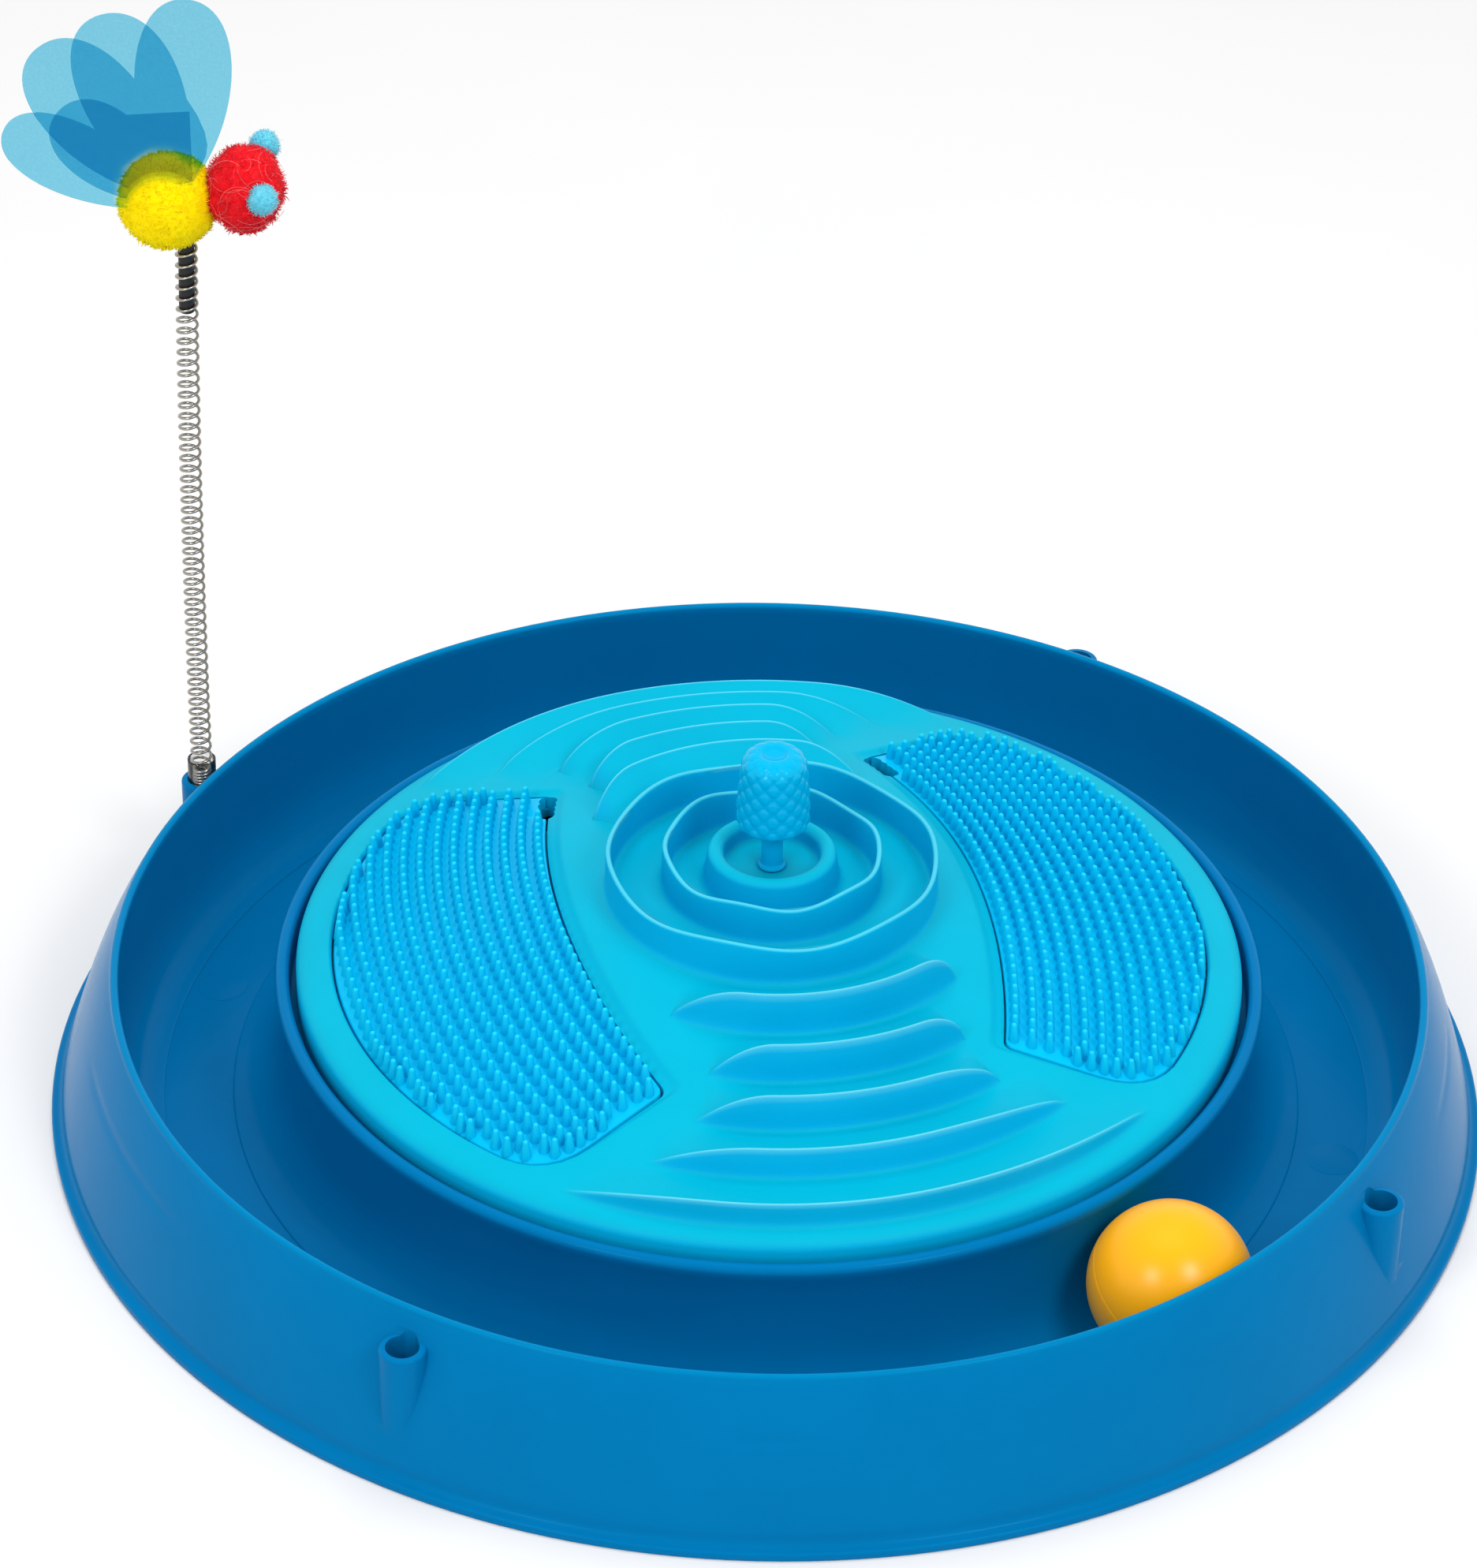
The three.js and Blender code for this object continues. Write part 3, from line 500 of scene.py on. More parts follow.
@cache
def mottle_effect() -> bpy.types.NodeTree:
    """Broad, faint swing in a moulding's colour."""
    colour = EffectSocket("Colour", COLOUR_SOCKET)
    inputs = [colour, EffectSocket("Scale"), EffectSocket("Amount")]
    sheet, given, result = open_effect("surface_mottle", inputs, [colour])
    cloud = sheet.noise(given.outputs["Scale"], 4.0, 0.6)
    swing = sheet.math("SUBTRACT", cloud, 0.5)
    gain = sheet.math("MULTIPLY_ADD", swing, given.outputs["Amount"], 1.0)
    scaled = {0: given.outputs["Colour"], "Scale": gain}
    tint = sheet.add("ShaderNodeVectorMath", scaled, operation="SCALE")
    sheet.tree.links.new(tint.outputs[0], result.inputs["Colour"])
    return sheet.tree


@cache
def grain_effect() -> bpy.types.NodeTree:
    """Fine spark grain that a mould leaves on plastic."""
    inputs, outputs = [EffectSocket("Scale")], [EffectSocket("Height")]
    sheet, given, result = open_effect("mould_grain", inputs, outputs)
    coarse = sheet.noise(given.outputs["Scale"], 2.0, 0.55)
    fine = sheet.noise(sheet.math("MULTIPLY", given.outputs["Scale"], 3.3), 1.0)
    height = sheet.math("MULTIPLY_ADD", fine, 0.4, coarse)
    sheet.tree.links.new(height, result.inputs["Height"])
    return sheet.tree


@cache
def scuff_effect() -> bpy.types.NodeTree:
    """Handling marks: cloudy gloss and hairline scratches."""
    inputs = [EffectSocket("Roughness"), EffectSocket("Spread"), EffectSocket("Scale")]
    outputs = [EffectSocket("Roughness"), EffectSocket("Height")]
    sheet, given, result = open_effect("handling_scuffs", inputs, outputs)
    cloud = sheet.math("SUBTRACT", sheet.noise(given.outputs["Scale"], 3.0, 0.6), 0.5)
    drawn = sheet.add(
        "ShaderNodeMapping",
        {"Vector": sheet.coords(), "Rotation": (0.2, 0.1, 0.7), "Scale": (1.0, 26.0, 26.0)},
    ).outputs[0]
    hairs = sheet.ramp(sheet.noise(given.outputs["Scale"], 2.0, Vector=drawn), 0.68, 0.76)
    cloudy = sheet.math("MULTIPLY_ADD", cloud, given.outputs["Spread"], given.outputs["Roughness"])
    half = sheet.math("MULTIPLY", given.outputs["Spread"], 0.5)
    rough = sheet.math("MULTIPLY_ADD", hairs, half, cloudy)
    sheet.tree.links.new(rough, result.inputs["Roughness"])
    sheet.tree.links.new(sheet.math("MULTIPLY", hairs, -1.0), result.inputs["Height"])
    return sheet.tree


@cache
def fibre_effect() -> bpy.types.NodeTree:
    """Matted wool: pale strands drawn through a deeper colour."""
    colour, pale = EffectSocket("Colour", COLOUR_SOCKET), EffectSocket("Pale", COLOUR_SOCKET)
    inputs = [colour, pale, EffectSocket("Scale")]
    sheet, given, result = open_effect("felt_fibres", inputs, [colour, EffectSocket("Height")])
    strands = sheet.noise(given.outputs["Scale"], 5.0, 0.7, Distortion=2.5)
    share = sheet.ramp(strands, 0.42, 0.8)
    tint = sheet.mix(share, given.outputs["Colour"], given.outputs["Pale"])
    sheet.tree.links.new(tint, result.inputs["Colour"])
    sheet.tree.links.new(strands, result.inputs["Height"])
    return sheet.tree


def open_material(name: str) -> tuple[bpy.types.Material, NodeSheet, bpy.types.Node]:
    """Opens a node material.

    Args:
        name: Name of the material.

    Returns:
        The material, its sheet and its Principled shader, already joined to the output.
    """
    material = bpy.data.materials.new(name)
    material.use_nodes = True
    material.node_tree.nodes.clear()
    sheet = NodeSheet(material.node_tree)
    shader = sheet.add("ShaderNodeBsdfPrincipled")
    sheet.add("ShaderNodeOutputMaterial", {"Surface": shader.outputs[0]})
    return material, sheet, shader


def let_light_through(sheet: NodeSheet, shader: bpy.types.Node, tint: object) -> None:
    """Lets a see-through shader cast a tinted shadow.

    Args:
        sheet: The material's sheet.
        shader: Its Principled shader, already joined to the output.
        tint: Colour or socket of the light that comes through.
    """
    result = shader.outputs[0].links[0].to_node
    clear = sheet.add("ShaderNodeBsdfTransparent", {"Color": tint})
    shadow = sheet.add("ShaderNodeLightPath").outputs["Is Shadow Ray"]
    both = sheet.add("ShaderNodeMixShader", {0: shadow, 1: shader.outputs[0], 2: clear.outputs[0]})
    sheet.tree.links.new(both.outputs[0], result.inputs["Surface"])


@dataclass(frozen=True)
class MouldedFinish:
    """Moulded plastic or rubber: grain, cloudy gloss, painted highlights, painted shade on walls.
    """

    name: str
    colour: Colour
    # Painted highlight colour, mixed in on crests, rims, tips and tops that the mesh marks.
    painted_light_colour: Colour
    roughness: float
    specular: float
    # Painted shade: bluer colour on upright walls standing in for bounced light in shade.
    wall_shade_colour: Colour | None = None
    gloss_tint: Colour = (1.0, 1.0, 1.0, 1.0)
    mottle_scale: float = 28.0
    mottle: float = 0.16
    grain_scale: float = 2600.0
    grain_depth: float = 0.012
    scuff_spread: float = 0.12
    scuff_scale: float = 60.0

    def material(self) -> bpy.types.Material:
        """Makes the finish; the mesh says where highlights and wall shade are painted."""
        material, sheet, shader = open_material(self.name)
        # Painted highlight share and painted wall shade share come from the mesh.
        painted_light_share = sheet.add("ShaderNodeAttribute", attribute_name="painted_light").outputs["Fac"]
        colour: object = self.colour
        if self.wall_shade_colour:
            painted_wall_shade = sheet.add("ShaderNodeAttribute", attribute_name="painted_wall_shade").outputs["Fac"]
            colour = sheet.mix(painted_wall_shade, self.colour, self.wall_shade_colour)
        tint = sheet.mix(painted_light_share, colour, self.painted_light_colour)
        swing = {"Colour": tint, "Scale": self.mottle_scale, "Amount": self.mottle}
        mottle = sheet.effect(mottle_effect(), swing)
        marks = {"Spread": self.scuff_spread, "Scale": self.scuff_scale}
        scuffs = sheet.effect(scuff_effect(), {"Roughness": self.roughness, **marks})
        grain = sheet.effect(grain_effect(), {"Scale": self.grain_scale})
        height = sheet.math("MULTIPLY_ADD", scuffs.outputs["Height"], 0.5, grain.outputs["Height"])
        sheet.fill(
            shader,
            {
                "Base Color": mottle.outputs["Colour"],
                "Roughness": scuffs.outputs["Roughness"],
                "Specular IOR Level": self.specular,
                "Specular Tint": self.gloss_tint,
                "Normal": sheet.relief(height, self.grain_depth),
            },
        )
        return material


@dataclass(frozen=True)
class ClearFinish:
    """Clear tube plastic with faint draw marks."""

    name: str
    colour: Colour
    roughness: float

    def material(self) -> bpy.types.Material:
        """Makes the finish."""
        material, sheet, shader = open_material(self.name)
        marks = {"Roughness": self.roughness, "Spread": 0.08, "Scale": 220.0}
        scuffs = sheet.effect(scuff_effect(), marks)
        sheet.fill(
            shader,
            {
                "Base Color": self.colour,
                "Roughness": scuffs.outputs["Roughness"],
                "IOR": 1.42,
                "Transmission Weight": 1.0,
                "Normal": sheet.relief(scuffs.outputs["Height"], 0.02),
            },
        )
        let_light_through(sheet, shader, self.colour)
        return material


@dataclass(frozen=True)
class SteelFinish:
    """Drawn spring wire."""

    name: str
    colour: Colour
    roughness: float

    def material(self) -> bpy.types.Material:
        """Makes the finish."""
        material, sheet, shader = open_material(self.name)
        swing = {"Colour": self.colour, "Scale": 240.0, "Amount": 0.5}
        mottle = sheet.effect(mottle_effect(), swing)
        marks = {"Roughness": self.roughness, "Spread": 0.2, "Scale": 420.0}
        scuffs = sheet.effect(scuff_effect(), marks)
        sheet.fill(
            shader,
            {
                "Base Color": mottle.outputs["Colour"],
                "Metallic": 1.0,
                "Roughness": scuffs.outputs["Roughness"],
                "Normal": sheet.relief(scuffs.outputs["Height"], 0.01),
            },
        )
        return material


@dataclass(frozen=True)
class FeltFinish:
    """Matted wool with sheen."""

    name: str
    colour: Colour
    pale: Colour
    scale: float
    sheen: float = 0.35

    def material(self) -> bpy.types.Material:
        """Makes the finish."""
        material, sheet, shader = open_material(self.name)
        strands = {"Colour": self.colour, "Pale": self.pale, "Scale": self.scale}
        fibres = sheet.effect(fibre_effect(), strands)
        swing = {"Colour": fibres.outputs["Colour"], "Scale": 160.0, "Amount": 0.12}
        mottle = sheet.effect(mottle_effect(), swing)
        sheet.fill(
            shader,
            {
                "Base Color": mottle.outputs["Colour"],
                "Roughness": 0.95,
                "Specular IOR Level": 0.05,
                "Subsurface Weight": 0.4,
                "Subsurface Radius": (1.0, 0.7, 0.4),
                "Subsurface Scale": 0.0016,
                "Sheen Weight": self.sheen,
                "Sheen Roughness": 0.5,
                "Sheen Tint": self.pale,
                "Normal": sheet.relief(fibres.outputs["Height"], 0.06),
            },
        )
        return material


@dataclass(frozen=True)
class FilmFinish:
    """Tinted see-through film with a fine grain, painted paler where it lies over the felt."""

    name: str
    colour: Colour
    dense: Colour
    # Paler colour painted where the film lies over the felt, lightening the felt seen through it.
    root: Colour
    roughness: float

    def material(self) -> bpy.types.Material:
        """Makes the finish."""
        material, sheet, shader = open_material(self.name)
        speckle = sheet.ramp(sheet.noise(1500.0, 3.0, 0.65), 0.3, 0.75)
        marks = {"Roughness": self.roughness, "Spread": 0.06, "Scale": 150.0}
        scuffs = sheet.effect(scuff_effect(), marks)
        # Share of that painted light, from the mesh.
        root = sheet.add("ShaderNodeAttribute", attribute_name="painted_light").outputs["Fac"]
        tint = sheet.mix(root, sheet.mix(speckle, self.colour, self.dense), self.root)
        sheet.fill(
            shader,
            {
                "Base Color": tint,
                "Roughness": scuffs.outputs["Roughness"],
                "IOR": 1.12,
                "Specular IOR Level": 0.3,
                "Transmission Weight": 1.0,
            },
        )
        let_light_through(sheet, shader, tint)
        return material


Finish = MouldedFinish | ClearFinish | SteelFinish | FeltFinish | FilmFinish


@cache
def material_of(finish: Finish) -> bpy.types.Material:
    """Material of a finish, made when it is first asked for."""
    return finish.material()


class Finishes:
    """Every finish of the toy."""

    # Second colour: painted highlight along the top of the rim.
    TRACK = MouldedFinish(
        "track_blue", (0.0, 0.153, 0.378, 1.0), (0.0, 0.19, 0.42, 1.0),
        roughness=0.2, specular=0.05, gloss_tint=(0.25, 0.8, 1.0, 1.0),
    )
    # Second colour: painted highlight on crests and ring tops; wall colour: painted shade on
    # upright walls.
    PANEL = MouldedFinish(
        "panel_cyan", (0.0, 0.395, 0.56, 1.0), (0.16, 0.64, 0.78, 1.0),
        roughness=0.5, specular=0.06, wall_shade_colour=(0.0, 0.4, 0.68, 1.0),
        grain_scale=1900.0, grain_depth=0.02,
    )
    # Second colour: painted highlight at the bristle tips.
    BRISTLE = MouldedFinish(
        "bristle_cyan", (0.0, 0.46, 0.75, 1.0), (0.01, 0.58, 0.82, 1.0),
        roughness=0.3, specular=0.05, mottle=0.1, grain_depth=0.004,
    )
    # Second colour: painted light on the bump tops and the crown.
    KNOB = MouldedFinish(
        "knob_cyan", (0.0, 0.36, 0.66, 1.0), (0.0, 0.45, 0.7, 1.0),
        roughness=0.13, specular=0.1, mottle=0.1, grain_depth=0.004,
    )
    BALL = MouldedFinish(
        "ball_yellow", (0.98, 0.43, 0.0, 1.0), (0.85, 0.33, 0.0, 1.0),
        roughness=0.3, specular=0.38, mottle=0.06, grain_depth=0.004, scuff_spread=0.08,
    )
    CORE = MouldedFinish(
        "core_black", (0.012, 0.012, 0.013, 1.0), (0.03, 0.03, 0.03, 1.0),
        roughness=0.45, specular=0.3,
    )
    CLEAR = ClearFinish("sleeve_clear", (0.93, 0.94, 0.94, 1.0), 0.08)
    STEEL = SteelFinish("wire_steel", (0.4, 0.37, 0.32, 1.0), 0.22)
    YELLOW = FeltFinish("felt_yellow", (1.0, 0.72, 0.0, 1.0), (1.0, 0.8, 0.01, 1.0), 420.0)
    RED = FeltFinish("felt_red", (0.76, 0.006, 0.013, 1.0), (0.82, 0.024, 0.032, 1.0), 330.0)
    WISP = FeltFinish("wisp_rose", (0.86, 0.12, 0.12, 1.0), (0.92, 0.3, 0.28, 1.0), 300.0)
    BLUE = FeltFinish("felt_blue", (0.1, 0.6, 0.77, 1.0), (0.26, 0.74, 0.86, 1.0), 420.0)
    # Third colour: painted light where the film lies over the felt.
    FILM = FilmFinish(
        "film_blue", (0.24, 0.64, 0.81, 1.0), (0.17, 0.58, 0.77, 1.0), (0.74, 0.78, 0.7, 1.0), 0.04
    )


@dataclass(frozen=True)
class Bend:
    """Second body and the points where a bend would start and end; the piece is left free, its
    place baked in.
    """

    body: Body
    start: Vector
    end: Vector


@dataclass(frozen=True)
class Tag:
    """What a finished piece is called, rides on, looks like and stands for."""

    name: str
    body: Body
    slot: Slot
    stands_for: tuple[str, ...] = ()
    bend: Bend | None = None
    sharp: float = 40.0
    # Share of painted light at each point, mostly highlights; also sets the painted wall shade
    # share.
    painted_light_share: Callable[[Vector], float] | None = None


def finished(bm: BMesh, tag: Tag, finish: Finish) -> bpy.types.Object:
    """Turns a mesh in millimetres into a piece of the toy.

    Args:
        bm: The modelled mesh, freed here.
        tag: Name, body, slot and the solids the piece stands for.
        finish: What its surface looks like.

    Returns:
        The piece's object at the origin.
    """
    # Stores the painted highlight share and the painted wall shade share on every point.
    if tag.painted_light_share:
        bm.normal_update()
        painted_light_share, painted_wall_shade = (bm.verts.layers.float.new(name) for name in ("painted_light", "painted_wall_shade"))
        for vert in bm.verts:
            vert[painted_light_share] = tag.painted_light_share(vert.co)
            vert[painted_wall_shade] = smooth_step((WALL_SHADE_START - abs(vert.normal.z)) / WALL_SHADE_SPAN)
    bmesh.ops.scale(bm, vec=(MM, MM, MM), verts=bm.verts[:])
    mesh = mesh_of(bm, tag.name)
    mesh.materials.append(material_of(finish))
    mesh.shade_smooth()
    mesh.set_sharp_from_angle(angle=math.radians(tag.sharp))
    obj = linked(tag.name, mesh)
    if tag.bend:
        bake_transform(obj)
    else:
        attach(obj, tag.body.value)
    if tag.stands_for:
        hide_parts(*tag.stands_for)
    LOG.info("%s: %d faces on %s", tag.name, len(mesh.polygons), tag.body.value)
    return obj


@dataclass(frozen=True)
class Softbox:
    """Square soft light aimed at the toy, in degrees, millimetres and watts."""

    name: str
    azimuth: float
    elevation: float
    away: float
    size: float
    power: float
    glints: bool = True

    def hang(self) -> None:
        """Hangs the light."""
        light = bpy.data.lights.new(self.name, "AREA")
        light.size = self.size * MM
        light.energy = self.power
        obj = linked(self.name, light)
        rise = math.radians(self.elevation)
        place = polar(math.cos(rise), self.azimuth, math.sin(rise)) * self.away
        aim = place.to_track_quat("Z", "Y").to_matrix().to_4x4()
        obj.matrix_world = Matrix.Translation(place * MM) @ aim
        obj.visible_glossy = self.glints


@dataclass
class Studio:
    """Camera, pale floor and soft light from all round, from the front and from overhead."""

    eye: Vector = at(0.0, -1057.70, 802.83)
    right: Vector = at(0.99962159, 0.02056472, 0.01826933)
    up: Vector = at(-0.02663868, 0.55808015, 0.82935935)
    lens: float = 118.22
    sensor: float = 36.0
    sight: float = 50.0
    floor_half: float = 4000.0
    horizon: float = 1.15
    zenith: float = 0.35
    paper: tuple[Colour, Colour] = ((0.755, 0.755, 0.755, 1.0), (0.775, 0.775, 0.775, 1.0))
    boxes: tuple[Softbox, ...] = (
        Softbox("front_right", -52.5, 47.0, 1600.0, 420.0, 7.0),
        Softbox("front_left", -124.0, 41.0, 1600.0, 400.0, 5.4),
        Softbox("overhead", 100.0, 78.0, 1700.0, 1200.0, 16.5, glints=False),
    )

    def camera(self) -> None:
        """Places the camera at the photograph's viewing angle."""
        camera = bpy.data.cameras.new("view_camera")
        camera.sensor_width = self.sensor
        camera.lens = self.lens
        camera.clip_end = self.sight
        obj = linked("view_camera", camera)
        back = self.right.cross(self.up)
        turn = Matrix((self.right, self.up, back)).transposed().to_4x4()
        obj.matrix_world = Matrix.Translation(self.eye * MM) @ turn
        bpy.context.scene.camera = obj

    def floor(self) -> None:
        """Lays the floor."""
        bm = bmesh.new()
        bmesh.ops.create_grid(bm, x_segments=2, y_segments=2, size=self.floor_half * MM)
        mesh = mesh_of(bm, "floor")
        material, sheet, shader = open_material("floor_paper")
        tint = sheet.mix(sheet.ramp(sheet.noise(9.0, 2.0), 0.0, 1.0), *self.paper)
        sheet.fill(shader, {"Base Color": tint, "Roughness": 0.9, "Specular IOR Level": 0.1})
        mesh.materials.append(material)
        obj = linked("floor", mesh)

    def sky(self) -> None:
        """Surrounds the set with white light, brighter towards the horizon than overhead."""
        world = bpy.data.worlds.new("studio")
        world.use_nodes = True
        sheet = NodeSheet(world.node_tree)
        direction = sheet.add("ShaderNodeTexCoord").outputs["Generated"]
        rise = sheet.add("ShaderNodeSeparateXYZ", {0: direction}).outputs["Z"]
        share = sheet.ramp(rise, 0.0, 1.0)
        low, high = ((level, level, level, 1.0) for level in (self.horizon, self.zenith))
        sheet.fill(world.node_tree.nodes["Background"], {"Color": sheet.mix(share, low, high)})
        bpy.context.scene.world = world

    def build(self) -> None:
        """Sets up camera, floor and light."""
        self.camera()
        self.floor()
        self.sky()
        for box in self.boxes:
            box.hang()
        bpy.context.scene.view_settings.view_transform = "Standard"


@dataclass
class TrackBase:
    """Base moulding: sloped skirt, ball track, inner ring, tray and four wand sockets."""

    radius: float = 182.5
    height: float = 40.9
    wall: float = 2.2
    floor_thickness: float = 2.2
    rim_radius: float = 166.1
    rim_round: float = 1.1
    flange_height: float = 5.5
    flange_reach: float = 3.0
    bend_inset: float = 9.8
    bend_height: float = 29.2
    track_radius: float = 143.9
    track_half: float = 21.3
    ball_height: float = 22.5
    floor_inside: float = 7.9
    floor_outside: float = 10.6
    step: float = 0.4
    ring_inside: float = 121.3
    ring_outside: float = 125.0
    ring_height: float = 38.5
    ledge_height: float = 30.0
    tray_radius: float = 112.0
    socket_radius: float = 172.0
    socket_azimuths: tuple[float, ...] = (61.0, 152.4, 241.6, 329.4)
    socket_top: float = 34.5
    socket_wall: float = 1.6
    socket_bore: float = 8.0
    socket_floor: float = 4.0
    creases: tuple[tuple[float, float], ...] = ((-93.0, -84.0), (-168.0, -143.0), (-16.0, -1.0))
    crease_height: float = 27.0
    crease_depth: float = 0.28
    crease_width: float = 1.3
    crease_band: float = 5.0
    crease_fade: float = 4.0
    pin_azimuths: tuple[float, ...] = (-12.0, 33.0, 78.0, 123.0, 168.0, 213.0, 258.0, 303.0)
    pin_radius: float = 6.5
    pin_inset: float = 1.5
    pin_root: float = 0.4
    pin_rise: float = 0.05
    pin_round: float = 0.04
    boss_low: float = 0.2
    boss_round: float = 0.7
    bore_clear: float = 2.0
    socket_sides: int = 40
    corner: float = 0.6
    foot_round: float = 0.5
    tray_round: float = 3.0
    # Spread of the painted highlight on the rim: across and up and down.
    rim_highlight_width: float = 1.6
    rim_highlight_depth: float = 1.4
    steps: int = 192

    def section(self) -> Outline:
        """Half section from the axis out along the underside and back over the top."""
        outer, inner = self.track_radius + self.track_half, self.track_radius - self.track_half
        floor_out = self.track_radius + self.floor_outside
        floor_in = self.track_radius - self.floor_inside
        foot, bend = self.radius - self.flange_reach, self.radius - self.bend_inset
        ring_round = (self.ring_outside - self.ring_inside) / 2.0
        ring_middle = self.ring_inside + ring_round
        step_top = self.floor_thickness + self.step
        under = self.ledge_height - self.wall
        hollow = self.bend_height - self.wall
        rim_low = self.height - self.rim_round
        line = Outline(0.0, 0.0)
        line.line(self.tray_radius + self.wall, 0.0, 4)
        line.line(self.tray_radius + self.wall, under).line(inner - self.wall, under)
        line.line(inner - self.wall, self.ball_height)
        line.curve(inner - self.wall, 0.0, floor_in - self.wall, 0.0, 6)
        line.line(floor_out + self.wall, 0.0)
        line.curve(outer + self.wall, 0.0, outer + self.wall, self.ball_height, 6)
        line.line(outer + self.wall, hollow)
        line.curve(bend - self.wall, hollow, foot - self.wall, self.flange_height, 6)
        line.line(self.radius - self.wall, 0.0).line(self.radius - self.foot_round, 0.0)
        line.curve(self.radius, 0.0, self.radius, self.foot_round, 3)
        line.line(self.radius, self.wall - 0.7)
        line.curve(self.radius, self.wall, self.radius - 0.8, self.wall + 0.1, 4)
        line.curve(foot, self.wall + 0.2, foot, self.flange_height, 8)
        line.curve(bend, self.bend_height, self.rim_radius, rim_low, 44)
        line.arc(self.rim_radius - self.rim_round, rim_low, self.rim_round, 0.0, 180.0, 10)
        line.curve(outer, (self.height + self.ball_height) / 2.0, outer, self.ball_height, 8)
        line.curve(outer, step_top, floor_out, step_top, 14)
        line.curve(floor_out - 0.5, step_top, floor_out - self.corner, self.floor_thickness, 3)
        line.line(floor_in + self.corner, self.floor_thickness, 6)
        line.curve(floor_in + 0.5, step_top, floor_in, step_top, 3)
        line.curve(inner, step_top, inner, self.ball_height, 12)
        line.curve(
            inner, (self.ring_height + self.ball_height) / 2.0,
            self.ring_outside, self.ring_height - ring_round, 6,
        )
        line.arc(ring_middle, self.ring_height - ring_round, ring_round, 0.0, 180.0, 12)
        ledge, tray, bottom = self.ledge_height, self.tray_radius, self.floor_thickness
        line.line(self.ring_inside, ledge + self.corner, 3)
        line.curve(self.ring_inside, ledge, self.ring_inside - self.corner, ledge, 3)
        line.line(tray + self.corner, ledge)
        line.curve(tray, ledge, tray, ledge - self.corner, 3)
        line.line(tray, bottom + self.tray_round, 3)
        line.curve(tray, bottom, tray - self.tray_round, bottom, 4)
        return line.line(0.0, bottom, 5)

    def crease(self, bm: BMesh) -> None:
        """Presses the long shallow flow dents into the skirt."""
        for vert in bm.verts:
            reach, azimuth = around(vert.co)
            above = vert.co.z - self.crease_height
            if reach < self.rim_radius or abs(above) > self.crease_band:
                continue
            for start, end in self.creases:
                inside = min(turn_apart(azimuth, start), turn_apart(end, azimuth))
                depth = self.crease_depth * smooth_step(inside / self.crease_fade)
                depth *= math.exp(-((above / self.crease_width) ** 2))
                vert.co -= Vector((vert.co.x, vert.co.y, 0.0)) * (depth / reach)

    def pins(self, bm: BMesh) -> None:
        """Adds the faint round ejector marks on the track floor."""
        reach = self.track_radius + self.floor_outside - self.pin_radius - self.pin_inset
        low, high = self.floor_thickness - self.pin_root, self.floor_thickness + self.pin_rise
        for azimuth in self.pin_azimuths:
            mark = post(self.pin_radius, low, high, 32, self.pin_round)
            absorb(bm, moved(mark, Matrix.Translation(polar(reach, azimuth))))

    def rim_highlight(self, place: Vector) -> float:
        """Share of the painted highlight colour at a point, most on top of the rim."""
        aside = math.hypot(place.x, place.y) - self.rim_radius + self.rim_round
        below = place.z - self.height
        return math.exp(-((aside / self.rim_highlight_width) ** 2) - (below / self.rim_highlight_depth) ** 2)

    def build(self) -> None:
        """Models and dresses the base."""
        bm = self.section().turned(self.steps)
        self.crease(bm)
        inside, sides = self.socket_bore / 2.0, self.socket_sides
        outside, clear = inside + self.socket_wall, self.height + self.bore_clear
        for azimuth in self.socket_azimuths:
            place = Matrix.Translation(polar(self.socket_radius, azimuth))
            boss = post(outside, self.boss_low, self.socket_top, sides, self.boss_round)
            bm = fitted(bm, moved(boss, place), Fit.JOIN)
            bore = post(inside, self.socket_floor, clear, sides)
            bm = fitted(bm, moved(bore, place), Fit.CUT)
        self.pins(bm)
        nodes = ("track_base",)
        tag = Tag("base_moulding", Body.BASE, Slot.TRACK, nodes, sharp=32.0, painted_light_share=self.rim_highlight)
        finished(bm, tag, Finishes.TRACK)


@dataclass
class TrackBall:
    """Hollow ball with a fine seam where its halves meet."""

    centre: Vector = at(*polar(TrackBase.track_radius, -47.4, TrackBase.ball_height))
    radius: float = 20.0
    seam: float = 0.12
    seam_start: float = 0.6
    seam_end: float = 0.01
    tilt: float = 28.0
    tilt_axis: Vector = at(0.6, 0.8, 0.0)
    steps: int = 96

    def build(self) -> None:
        """Models and dresses the ball."""
        line = Outline(0.0, -self.radius)
        line.arc(0.0, 0.0, self.radius, -90.0, -self.seam_start, 32)
        end = self.radius * math.cos(self.seam_end), self.radius * math.sin(self.seam_end)
        line.curve(self.radius - self.seam, 0.0, *end, 4)
        line.arc(0.0, 0.0, self.radius, self.seam_start, 90.0, 32)
        lean = Matrix.Rotation(math.radians(self.tilt), 4, self.tilt_axis)
        bm = moved(line.turned(self.steps), Matrix.Translation(self.centre) @ lean)
        nodes = ("ball_upper_half", "ball_lower_half")
        finished(bm, Tag("hollow_ball", Body.BALL, Slot.BALL, nodes), Finishes.BALL)


